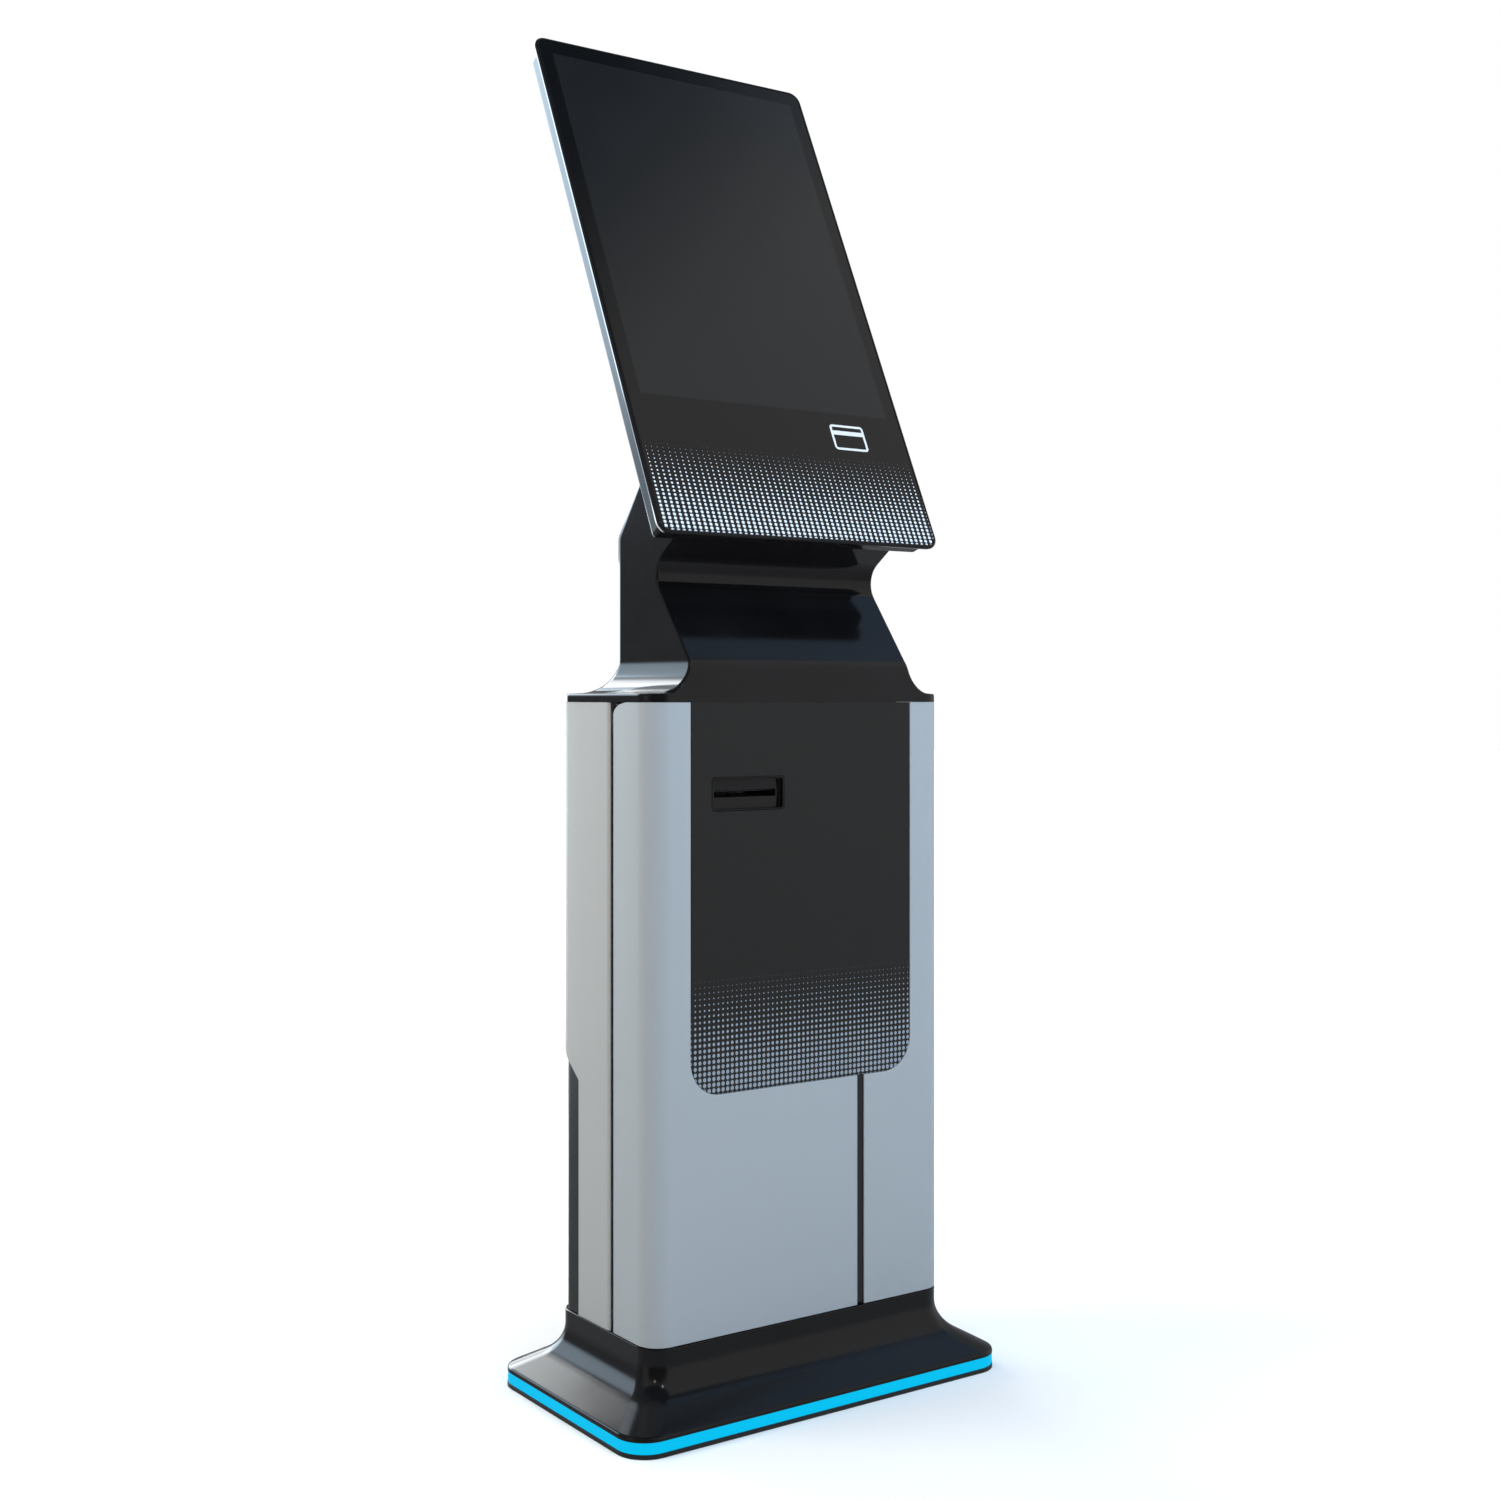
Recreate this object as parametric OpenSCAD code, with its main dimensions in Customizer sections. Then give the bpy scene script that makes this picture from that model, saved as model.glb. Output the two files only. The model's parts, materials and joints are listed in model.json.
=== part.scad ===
// Free-standing self checkout kiosk: a plinth with a light band, a sheet-metal
// pedestal with a hinged front door and a receipt printer, a moulded neck and
// a tilted touch display. Millimetres, +Z up, front towards -Y, origin on the
// floor under the middle of the plinth.

/* [Plinth] */
// Width of the plinth
plinth_w = 536; // [530:1:545]
// Depth of the plinth
plinth_d = 319; // [315:1:325]
// Corner radius of the plinth rim
plinth_r = 37; // [32:1:40]
// Thickness of the steel base plate
base_t = 5; // [4:1:6]
// Height of the light band
led_h = 13; // [10:1:15]
// Height of the top of the plinth collar
collar_z = 96; // [92:1:100]
// Hole radius of the floor anchors
anchor_r = 6.5; // [5.5:0.5:7]
// Anchor spacing across the width
anchor_dx = 400; // [390:5:410]
// Anchor spacing across the depth
anchor_dy = 220; // [215:5:230]
// Radius of the cable entry in the base plate
entry_r = 30; // [20:1:30]

/* [Pedestal] */
// Width of the pedestal
ped_w = 430; // [428:1:432]
// Depth of the pedestal
ped_d = 212; // [211:1:214]
// Radius of the vertical corners
ped_r = 28.6; // [27:0.1:30]
// Height of the top of the pedestal
ped_top = 823; // [815:1:830]
// Sheet thickness of the outer skins
skin_t = 2; // [1.5:0.5:2]
// Depth of the side cut-out at the lower rear, from the rear face
cut_d = 52; // [45:1:55]
// Height of the cut-out at its front edge
cut_z = 375; // [360:1:390]
// Rise of the cut-out towards the rear
cut_rise = 43; // [30:1:50]

/* [Front door] */
// Depth of the door shell
door_d = 80; // [78:1:82]
// Gap between the door and the side covers
door_gap = 6; // [6:0.5:7]
// Width of the dark insert panel
insert_w = 321; // [315:1:325]
// Height of the lower edge of the insert panel
insert_z = 374; // [365:1:385]
// Radius of the lower corners of the insert panel
insert_r = 40; // [30:1:42]
// Left edge of the seam below the insert
seam_x = 79; // [70:1:90]
// Width of the seam
seam_w = 10; // [8:1:12]
// Largest opening angle of the door
door_open = 100; // [60:5:100]

/* [Receipt slot] */
// Middle of the slot across the width
slot_x = -81; // [-85:1:-78]
// Height of the paper mouth
slot_z = 717; // [715:1:718]
// Width of the bezel
slot_w = 96; // [94:1:98]
// Height of the bezel
slot_h = 33; // [31:1:35]
// Width of the paper roll
paper_w = 80; // [79:1:80]

/* [Neck] */
// Width of the neck
neck_w = 320; // [314:1:324]
// Rear face of the neck
neck_y = 62; // [58:1:64]
// Height of the lip on top of the pedestal
lip_h = 10; // [8:1:11]
// Radius of the fillet between lip and neck
neck_fillet = 40; // [34:1:42]
// Radius of the hollow under the display
hollow_r = 29; // [27:1:31]

/* [Display head] */
// Width of the display head
head_w = 408; // [404:1:412]
// Length of the display head along its face
head_l = 703.5; // [700:0.5:706]
// Lean of the display back from upright
head_tilt = 24.8; // [24.5:0.1:25.1]
// Place of the lower front edge in depth
head_y = -111; // [-112:1:-110]
// Height of the lower front edge
head_z = 1013; // [1012:1:1015]
// Thickness of the front bezel
bezel_t = 8; // [7:0.5:9]
// Depth of the whole head
head_t = 35; // [34:0.5:36]
// Step from the bezel edge in to the rear housing
head_step = 8; // [7:0.5:9]
// Corner radius of the bezel
head_r = 16; // [14:1:20]

/* [Hidden] */
$fn = 64;

eps = 0.5;
// Light band and plinth cover
led_top = base_t + led_h;
led_wall = 8;
rim_top = led_top + 3;
overhang_x = (plinth_w - ped_w) / 2;
overhang_y = (plinth_d - ped_d) / 2;
plinth_fillet = 45;
plinth_wall = 3;
fillet_top = collar_z - 16;
// Pedestal faces
side_x = ped_w / 2;
front_y = -ped_d / 2;
rear_y = ped_d / 2;
door_rear = front_y + door_d;
cover_front = door_rear + door_gap;
fit_gap = 0.5;
cover_bottom = collar_z + fit_gap;
cover_top = ped_top - fit_gap;
cover_h = cover_top - cover_bottom;
cover_roll = 10;
cover_return = 20;
cover_wrap = 65;
// Frame
post = 25;
post_wall = 2;
post_front_x = side_x - 8 - post;
post_front_y = cover_front + 3;
post_rear_x = side_x - 12 - post;
post_rear_y = rear_y - 16 - post;
base_plate_t = 3;
frame_z = ped_top - base_plate_t - post;
corner_notch = 15;
shelf_z = 650;
shelf_t = 2;
shelf_lip = 18;
mast_half = 50;
mast_t = 3;
mast_foot = 50;
psu_low = [35, -50, base_t];
psu_size = [135, 110, 55];
// Rear panel
rear_inset = 3.5;
rear_t = 1.5;
rear_flange = 58;
rear_inner = rear_y - rear_inset - rear_t;
fan_x = 90;
fan_z = 560;
fan_size = 80;
fan_depth = 25;
fan_bore = 38;
fan_hole = 35.75;
fan_hole_r = 2.2;
fan_hub_r = 17;
fan_shaft_r = 2;
fan_blades = 7;
vent_w = 60;
vent_h = 6;
vent_pitch = 14;
inlet_x = -120;
inlet_z = 170;
inlet_w = 60;
inlet_h = 28;
inlet_pin = 4;
rocker_x = 18;
rocker_tilt = 7;
// Door
door_bottom = collar_z + 1;
door_top = cover_top;
insert_t = skin_t;
door_plate_t = 2;
door_inner = front_y + skin_t + door_plate_t;
flat_half = side_x - ped_r - 0.4;
hinge_x = -side_x + 4;
hinge_y = door_rear + door_gap / 2;
hinge_pin_r = 2;
running = 0.05;
corner_y = 32;
corner_z = 14;
knuckle_r = 3.3;
hinge_z_top = 806;
hinge_z_bottom = 112;
leaf_t = 4;
lock_y = -60;
lock_z = 460;
lock_r = 9;
plug_r = 5;
cam_x = side_x - 27;
cam_len = 30;
cam_w = 12;
// Printer
mech_w = 110;
mech_front = -90;
mech_d = 56;
mech_z = 690;
platen_r = 6;
platen_shaft = 2.5;
platen_y = -78;
platen_z = slot_z - 8;
lid_y = -37;
lid_z = slot_z - 1;
lid_pin_r = 2;
lid_bottom = slot_z + 2;
lid_h = 23;
roll_r = 40;
roll_y = 35;
roll_z = 705;
spindle_r = 6;
cheek_t = 2;
button_r = 4;
button_x = slot_x + 36;
button_z = 698;
mouth_w = 86;
mouth_h = 7.5;
bezel_lip = 3;
bezel_depth = 10;
bezel_floor = 7;
// Neck side profile
neck_wall = 3;
slope_a = 53.2;
flare_a = 145.5;
hollow_y = -61.2;
hollow_z = 970.4;
band_y = front_y + 3;
chamfer_z = 1017;
// Display head
glass_t = 3.5;
glass_edge = 4;
housing_wall = 2.5;
housing_r = head_r - 2;
screen_w = 365;
screen_l = 495;
screen_s = 432;
reader_x = 111;
reader_s = 150;
plate_depth = 31;

light_grey = [0.66, 0.71, 0.76];
warm_grey = [0.69, 0.70, 0.70];
gloss_black = [0.05, 0.05, 0.06];
zinc = [0.62, 0.64, 0.66];
pcb_green = [0.05, 0.30, 0.16];

// Rounded rectangle about the origin
module rrect(w, d, r) {
    square([w - 2 * r, d], center = true);
    square([w, d - 2 * r], center = true);
    for (x = [-1, 1], y = [-1, 1])
        translate([x * (w / 2 - r), y * (d / 2 - r)]) circle(r);
}

// Pedestal outline, moved in by t
module ped_outline(t) rrect(ped_w - 2 * t, ped_d - 2 * t, ped_r - t);

// Side cover outline, moved in by t, with tighter corners at the front
module cover_outline(t) {
    intersection() {
        ped_outline(t);
        translate([-ped_w, 0]) square([2 * ped_w, ped_d]);
    }
    front = cover_front + t;
    translate([0, (front + 40) / 2])
        rrect(ped_w - 2 * t, 40 - front, cover_roll - t);
}

// Local frame of the display: X across, Y up along the face, Z out of the face
module head_place() translate([0, head_y, head_z]) rotate([90 - head_tilt, 0, 0]) children();

// A point of the display's side view: s up along the face, d in behind it
function head_point(s, d) = [
    head_y + s * sin(head_tilt) + d * cos(head_tilt),
    head_z + s * cos(head_tilt) - d * sin(head_tilt)
];

// Extrude a side view, given as (y, z), across the width from x = -w/2 to w/2
module across(w) translate([-w / 2, 0, 0]) rotate([90, 0, 90]) linear_extrude(w) children();

module box(low, high) translate(low) cube(high - low);

module x_rod(x0, x1, y, z, r) translate([x0, y, z]) rotate([0, 90, 0]) cylinder(r = r, h = x1 - x0);

module y_rod(y0, y1, x, z, r) translate([x, y0, z]) rotate([-90, 0, 0]) cylinder(r = r, h = y1 - y0);

// ---- Plinth ----

module base_plate() color(gloss_black) linear_extrude(base_t) difference() {
    rrect(plinth_w, plinth_d, plinth_r);
    circle(entry_r);
    for (x = [-1, 1], y = [-1, 1])
        translate([x * anchor_dx / 2, y * anchor_dy / 2]) circle(anchor_r);
}

module led_diffuser() color([0, 0.76, 0.94])
    translate([0, 0, base_t]) linear_extrude(led_h) difference() {
        rrect(plinth_w, plinth_d, plinth_r);
        rrect(plinth_w - 2 * led_wall, plinth_d - 2 * led_wall, plinth_r - led_wall);
    }

module led_strip() color([0.9, 0.9, 0.8])
    translate([0, 0, base_t + 2]) linear_extrude(led_h - 4) difference() {
        rrect(plinth_w - 2 * led_wall - 2, plinth_d - 2 * led_wall - 2, plinth_r - led_wall - 1);
        rrect(plinth_w - 2 * led_wall - 6, plinth_d - 2 * led_wall - 6, plinth_r - led_wall - 3);
    }

// Outline of the plinth cover where it stands o outside the pedestal's sides
module plinth_outline(o) {
    part = o / overhang_x;
    r = ped_r + (plinth_r - ped_r) * part;
    rrect(ped_w + 2 * o, ped_d + 2 * overhang_y * part, r);
}

module plinth_slice(p) translate([0, 0, p[1]]) linear_extrude(0.02) plinth_outline(p[0], $fn = 32);

module plinth_cover() color(gloss_black) {
    steps = concat(
        [[overhang_x, rim_top], [overhang_x - 3, rim_top + 3.5]],
        [for (a = [60, 40, 20, 0]) [plinth_fillet * (1 - cos(a)), fillet_top - plinth_fillet * sin(a)]]
    );
    difference() {
        union() {
            translate([0, 0, led_top]) linear_extrude(rim_top - led_top + 0.02)
                plinth_outline(overhang_x, $fn = 32);
            for (i = [0 : len(steps) - 2]) hull() {
                plinth_slice(steps[i]);
                plinth_slice(steps[i + 1]);
            }
            translate([0, 0, fillet_top]) linear_extrude(collar_z - fillet_top)
                plinth_outline(0, $fn = 32);
        }
        translate([0, 0, led_top - eps]) linear_extrude(collar_z)
            ped_outline(plinth_wall, $fn = 32);
        hull() {
            plinth_slice([overhang_x - 4, led_top - eps]);
            plinth_slice([overhang_x - 5, rim_top]);
            plinth_slice([20, fillet_top - 42]);
        }
    }
}

// ---- Frame ----

module frame_post(x, y) color(zinc) translate([x, y, base_t]) linear_extrude(frame_z - base_t)
    difference() {
        square(post);
        translate([post_wall, post_wall]) square(post - 2 * post_wall);
    }

module post_front_left() frame_post(-post_front_x - post, post_front_y);
module post_front_right() frame_post(post_front_x, post_front_y);
module post_rear_left() frame_post(-post_rear_x - post, post_rear_y);
module post_rear_right() frame_post(post_rear_x, post_rear_y);

module upper_frame() color(zinc) difference() {
    box([-post_front_x - post, post_front_y, frame_z],
        [post_front_x + post, post_rear_y + post, ped_top - base_plate_t]);
    box([-post_rear_x, post_front_y + post, frame_z - 1], [post_rear_x, post_rear_y, ped_top]);
    for (x = [-post_front_x - post - 1, post_rear_x + post])
        box([x, post_rear_y + post - corner_notch, frame_z - 1],
            [x + post_front_x - post_rear_x + 1, rear_y, ped_top]);
}

// Plate that carries the mast, with a cable window on each side of it
module neck_base() color(zinc) difference() {
    edge = 10;
    window = 70;
    box([-neck_w / 2 - edge, post_front_y, ped_top - base_plate_t],
        [neck_w / 2 + edge, neck_y + edge - 2, ped_top]);
    for (x = [-mast_half - edge - window, mast_half + edge])
        box([x, edge, ped_top - base_plate_t - 1], [x + window, mast_foot, ped_top + 1]);
}

module equipment_shelf() color(zinc) {
    box([-post_rear_x, lock_y, shelf_z], [post_rear_x, post_rear_y + 20, shelf_z + shelf_t]);
    box([-post_front_x, post_front_y, shelf_z], [post_front_x, post_front_y + post, shelf_z + shelf_t]);
    box([-post_rear_x, lock_y, shelf_z - shelf_lip], [post_rear_x, lock_y + shelf_t, shelf_z]);
}

// ---- Covers ----

// Cover on the +X side
module side_cover() {
    notch_h = 30;
    difference() {
        translate([0, 0, cover_bottom]) linear_extrude(cover_h) difference() {
            cover_outline(0);
            cover_outline(skin_t);
            translate([-ped_w, cover_front - 1]) square([ped_w + side_x - cover_return, 60]);
            translate([-ped_w, 0]) square([ped_w + side_x - cover_wrap, ped_d]);
        }
        translate([side_x - cover_wrap - 1, 0, 0]) rotate([90, 0, 90]) linear_extrude(ped_w)
            polygon([
                [rear_y - cut_d, 0],
                [rear_y + cut_d, 0],
                [rear_y + cut_d, cut_z + 2 * cut_rise],
                [rear_y - cut_d, cut_z]
            ]);
        for (z = [cover_bottom - 1, cover_top + 1 - notch_h])
            box([side_x - 25, cover_front - 1, z], [side_x - 3, cover_front + 5, z + notch_h]);
    }
}

module side_cover_right() color(warm_grey) side_cover();
module side_cover_left() color(warm_grey) mirror([1, 0, 0]) side_cover();

// Black rear panel with side flanges that show in the side cut-outs
module rear_panel() color(gloss_black) difference() {
    translate([0, 0, cover_bottom]) linear_extrude(cover_h) difference() {
        ped_outline(rear_inset);
        ped_outline(rear_inset + rear_t);
        translate([-ped_w, -ped_d]) square([2 * ped_w, ped_d + rear_y - rear_flange]);
    }
    y_rod(rear_inner - 1, rear_y, fan_x, fan_z, fan_bore);
    box([inlet_x - inlet_w / 2, rear_inner - 1, inlet_z - inlet_h / 2],
        [inlet_x + inlet_w / 2, rear_y, inlet_z + inlet_h / 2]);
    for (x = [-105, -35], z = [700 : vent_pitch : 784])
        box([x, rear_inner - 1, z], [x + vent_w, rear_y, z + vent_h]);
    for (x = [-105, -35, 45], z = [240 : vent_pitch : 310])
        box([x, rear_inner - 1, z], [x + vent_w, rear_y, z + vent_h]);
}

// ---- Neck ----

housing_foot = head_point(head_step, head_t);
flare_start = [hollow_y + hollow_r * sin(flare_a), hollow_z - hollow_r * cos(flare_a)];
slope_end = [hollow_y + hollow_r * sin(slope_a), hollow_z - hollow_r * cos(slope_a)];
back_lean = tan(head_tilt);
// Where the flare and the rear chamfer meet the back of the display housing
flare_run = (housing_foot[0] - flare_start[0] + (flare_start[1] - housing_foot[1]) * back_lean)
    / (cos(flare_a) - sin(flare_a) * back_lean);
flare_end = flare_start + flare_run * [cos(flare_a), sin(flare_a)];
chamfer_run = (neck_y - housing_foot[0] - (chamfer_z - housing_foot[1]) * back_lean) / (1 + back_lean);
chamfer_end = [neck_y - chamfer_run, chamfer_z + chamfer_run];
slope_start = [band_y, slope_end[1] - (slope_end[0] - band_y) * tan(slope_a)];
neck_profile = concat(
    [[front_y + 0.5, ped_top + lip_h - 2], slope_start],
    [for (a = [slope_a : (flare_a - slope_a) / 10 : flare_a + 0.01])
        [hollow_y + hollow_r * sin(a), hollow_z - hollow_r * cos(a)]],
    [flare_end, chamfer_end, [neck_y, chamfer_z], [neck_y, ped_top + lip_h - 2]]
);

module cap_slice(a) {
    o = neck_fillet * (1 - sin(a));
    low = front_y + 0.5;
    high = neck_y + o;
    translate([0, (low + high) / 2, ped_top + lip_h + neck_fillet * (1 - cos(a)) - 0.5])
        linear_extrude(0.02) rrect(neck_w + 2 * o, high - low, 6 + o / 3, $fn = 32);
}

module cap_neck() color(gloss_black) difference() {
    union() {
        translate([0, 0, ped_top]) linear_extrude(lip_h) ped_outline(0, $fn = 32);
        for (a = [0, 30, 60]) hull() {
            intersection() {
                cap_slice(a);
                translate([0, slope_start[0] + 300, 0]) cube([ped_w, 600 + 2 * 3, 4000], center = true);
            }
            intersection() {
                cap_slice(a + 30);
                translate([0, slope_start[0] + 300, 0]) cube([ped_w, 600 + 2 * 3, 4000], center = true);
            }
        }
        across(neck_w) polygon(neck_profile);
    }
    across(neck_w - 2 * neck_wall) offset(delta = -neck_wall) polygon(concat(
        [[front_y + 0.5, ped_top - 10]], [for (p = neck_profile) p], [[neck_y, ped_top - 10]]));
    across(neck_w - 2 * neck_wall) polygon([
        head_point(30, head_t - 4), head_point(105, head_t - 4),
        head_point(105, head_t + 15), head_point(30, head_t + 15)]);
    // The slope above the band is cut clear of the fillet slices
    across(ped_w) polygon([
        slope_start, slope_end, slope_end + [-120, 0], slope_start + [-120, 0]]);
}

module neck_mast() color(zinc) {
    foot_y = mast_foot;
    for (x = [-mast_half, mast_half - mast_t]) translate([x + mast_t / 2, 0, 0]) across(mast_t) polygon([
        [0, ped_top], [foot_y, ped_top], [foot_y, 1005],
        head_point(104, plate_depth), head_point(34, plate_depth),
        [-20, 985], [-20, 940], [0, 900]
    ]);
    box([-mast_half + mast_t, foot_y - mast_t, ped_top], [mast_half - mast_t, foot_y, 1000]);
}

// ---- Services ----

module power_supply() color(zinc) translate(psu_low) cube(psu_size);

module power_inlet() color(gloss_black) {
    front = rear_inner - 22;
    outer = rear_y - rear_inset;
    rocker_mid = inlet_x + rocker_x;
    difference() {
        union() {
            box([inlet_x - inlet_w / 2 + 0.3, front, inlet_z - inlet_h / 2 + 0.3],
                [inlet_x + inlet_w / 2 - 0.3, outer + 0.02, inlet_z + inlet_h / 2 - 0.3]);
            box([inlet_x - inlet_w / 2 - 3, outer, inlet_z - inlet_h / 2 - 3],
                [inlet_x + inlet_w / 2 + 3, outer + 2, inlet_z + inlet_h / 2 + 3]);
        }
        box([inlet_x - 26, outer - 16, inlet_z - 9], [inlet_x - 1, outer + 3, inlet_z + 9]);
        box([rocker_mid - 9, outer - 16, inlet_z - 12], [rocker_mid + 9, outer + 3, inlet_z + 12]);
        x_rod(rocker_mid - 11, rocker_mid + 11, outer - 6, inlet_z, 1.5 + running);
    }
    for (p = [[-20, -2], [-14, 3], [-8, -2]]) translate([inlet_x + p[0], outer - 16.5, inlet_z + p[1]])
        box([0, 0, -inlet_pin / 2], [1.5, 9.5, inlet_pin / 2]);
}

module power_switch() color([0.75, 0.1, 0.1]) {
    outer = rear_y - rear_inset;
    rocker_mid = inlet_x + rocker_x;
    x_rod(rocker_mid - 10.5, rocker_mid + 10.5, outer - 6, inlet_z, 1.5);
    translate([rocker_mid, outer - 6, inlet_z]) rotate([-rocker_tilt, 0, 0])
        translate([-8.5, 0, 0]) rotate([90, 0, 90]) linear_extrude(17)
            polygon([[-3, -5], [-3, 5], [4, 10.5], [8.5, 10], [6.5, 0], [8.5, -10], [4, -10.5]]);
}

module fan_housing() color(gloss_black) {
    low = rear_inner - fan_depth;
    arm_w = 4;
    difference() {
        union() {
            difference() {
                box([fan_x - fan_size / 2, low, fan_z - fan_size / 2],
                    [fan_x + fan_size / 2, rear_inner, fan_z + fan_size / 2]);
                y_rod(low - 1, rear_inner + 1, fan_x, fan_z, fan_bore);
            }
            y_rod(low + 0.2, low + 3.2, fan_x, fan_z, fan_hub_r);
            for (x = [-1, 1])
                box([fan_x + x * (fan_hub_r + fan_bore) / 2 - 13, low + 0.6, fan_z - arm_w / 2],
                    [fan_x + x * (fan_hub_r + fan_bore) / 2 + 13, low + 2.8, fan_z + arm_w / 2]);
            for (z = [-1, 1])
                box([fan_x - arm_w / 2, low + 0.6, fan_z + z * (fan_hub_r + fan_bore) / 2 - 13],
                    [fan_x + arm_w / 2, low + 2.8, fan_z + z * (fan_hub_r + fan_bore) / 2 + 13]);
        }
        y_rod(low - 1, low + 4, fan_x, fan_z, fan_shaft_r + running);
        for (x = [-1, 1], z = [-1, 1])
            y_rod(low - 1, rear_inner + 1, fan_x + x * fan_hole, fan_z + z * fan_hole, fan_hole_r);
    }
}

module fan_rotor() color([0.1, 0.1, 0.1]) {
    low = rear_inner - fan_depth;
    y_rod(low + 0.5, low + 8, fan_x, fan_z, fan_shaft_r);
    y_rod(low + 5, low + 22, fan_x, fan_z, fan_hub_r - 1);
    for (i = [1 : fan_blades]) translate([fan_x, low + 13.5, fan_z]) rotate([0, i * 360 / fan_blades, 0])
        translate([15, 0, 0]) rotate([38, 0, 0]) translate([0, -1, -10]) cube([21, 2, 20]);
}

// Wire guard over the fan opening
module fan_grille() color(zinc) {
    face = rear_y - rear_inset;
    for (r = [14, 26, 38]) translate([fan_x, face + 1.6, fan_z]) rotate([90, 0, 0])
        rotate_extrude() translate([r, 0]) circle(1);
    for (a = [45, 135]) translate([fan_x, face, fan_z]) rotate([0, a, 0])
        translate([-50, 0, -2]) cube([100, 1, 4]);
}

module controller() color([0.2, 0.2, 0.22]) {
    base = shelf_z + shelf_t;
    box([20, -45, base], [165, 60, base + 45]);
    for (x = [30 : 9 : 156]) box([x, -43, base + 44.9], [x + 4, 58, base + 50]);
}

// ---- Receipt printer ----

module printer_chassis() color(zinc) {
    base = shelf_z + shelf_t;
    low = slot_x - 60;
    high = slot_x + 60;
    box([low, mech_front + 32, base], [high, roll_y + 45, base + cheek_t]);
    for (x = [low, high - cheek_t]) difference() {
        box([x, mech_front + 32, base + cheek_t - 0.01], [x + cheek_t, roll_y + 45, roll_z + 18]);
        x_rod(x - 1, x + cheek_t + 1, roll_y, roll_z, spindle_r + running);
    }
    box([slot_x - mech_w / 2, mech_front + 32, base + cheek_t - 0.01],
        [slot_x + mech_w / 2, mech_front + mech_d, mech_z]);
}

module printer_mechanism() color([0.25, 0.26, 0.28]) {
    x0 = slot_x - mech_w / 2;
    x1 = slot_x + mech_w / 2;
    back = mech_front + mech_d;
    difference() {
        union() {
            box([x0, mech_front, mech_z], [x1, back, platen_z]);
            for (x = [x0, x1 - 6]) {
                box([x, mech_front, mech_z], [x + 6, back - 12, slot_z]);
                box([x, lid_y - 5, mech_z], [x + 6, lid_y + 5, lid_z + 5]);
            }
        }
        x_rod(x0 + 6, x1 - 6, platen_y, platen_z, platen_r + 0.8);
        x_rod(x0 - 1, x1 + 1, platen_y, platen_z, platen_shaft + running);
        x_rod(x0 - 1, x1 + 1, lid_y, lid_z, lid_pin_r + running);
        y_rod(mech_front - 1, mech_front + 6, button_x, button_z, button_r + 0.1);
        y_rod(mech_front + 2, mech_front + 6, button_x, button_z, button_r + 1.1);
    }
}

module printer_lid() color([0.3, 0.55, 0.35]) {
    x0 = slot_x - mech_w / 2;
    x1 = slot_x + mech_w / 2;
    difference() {
        union() {
            box([x0, mech_front + 2, lid_bottom], [x1, lid_y - 6, lid_bottom + lid_h]);
            for (x = [x0 + 6.5, x1 - 11.5]) {
                x_rod(x, x + 5, lid_y, lid_z, 4);
                box([x, lid_y - 7, lid_z - 1], [x + 5, lid_y + 2, lid_z + 4]);
                box([x, lid_y - 12, lid_bottom], [x + 5, lid_y + 2, lid_bottom + 6]);
            }
            box([slot_x - 12, mech_front - 0.5, lid_bottom + 14],
                [slot_x + 12, mech_front + 3, lid_bottom + lid_h]);
        }
        x_rod(x0 - 1, x1 + 1, lid_y, lid_z, lid_pin_r + running);
    }
}

module lid_pins() color("silver") for (x = [slot_x - mech_w / 2, slot_x + mech_w / 2 - 12])
    x_rod(x, x + 12, lid_y, lid_z, lid_pin_r);

module platen_roller() color([0.1, 0.1, 0.1]) {
    x_rod(slot_x - mech_w / 2 + 0.5, slot_x + mech_w / 2 - 0.5, platen_y, platen_z, platen_shaft);
    x_rod(slot_x - mech_w / 2 + 8, slot_x + mech_w / 2 - 8, platen_y, platen_z, platen_r);
}

module roll_spindle() color("silver") {
    x_rod(slot_x - 60, slot_x + 60, roll_y, roll_z, spindle_r);
    for (x = [slot_x - 63, slot_x + 60]) x_rod(x, x + 3, roll_y, roll_z, spindle_r + 3);
}

module paper_roll() color("white") difference() {
    x_rod(slot_x - paper_w / 2, slot_x + paper_w / 2, roll_y, roll_z, roll_r);
    x_rod(slot_x - paper_w / 2 - 1, slot_x + paper_w / 2 + 1, roll_y, roll_z, spindle_r + running);
}

module feed_button() color([0.2, 0.5, 0.9]) {
    y_rod(mech_front - 3, mech_front + 4, button_x, button_z, button_r);
    y_rod(mech_front + 2.1, mech_front + 4, button_x, button_z, button_r + 1);
}

// ---- Front door ----

module insert_outline(gap) {
    half = insert_w / 2 - gap;
    r = insert_r - gap;
    low = insert_z + gap;
    translate([-half, low + r]) square([2 * half, ped_top]);
    translate([-half + r, low]) square([2 * (half - r), ped_top]);
    for (x = [-half + r, half - r]) translate([x, low + r]) circle(r);
}

module insert_prism(gap) rotate([90, 0, 0]) linear_extrude(ped_d) insert_outline(gap);

module door_shell(x0, x1) difference() {
    translate([0, 0, door_bottom]) linear_extrude(door_top - door_bottom) intersection() {
        difference() {
            ped_outline(0);
            ped_outline(skin_t);
        }
        translate([x0, front_y - 1]) square([x1 - x0, door_d + 1]);
    }
    insert_prism(0);
    // Upper rear corner of each return, swept down to the rear edge
    for (x = [-side_x - 1, side_x - skin_t - 1]) translate([x, door_rear - corner_y, door_top - corner_z])
        rotate([90, 0, 90]) linear_extrude(skin_t + 2) difference() {
            square([corner_y + 1, corner_z + 1]);
            scale([corner_y / corner_z, 1]) circle(corner_z);
        }
}

module door_skin_left() color(light_grey) door_shell(-side_x - 1, seam_x);

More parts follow.
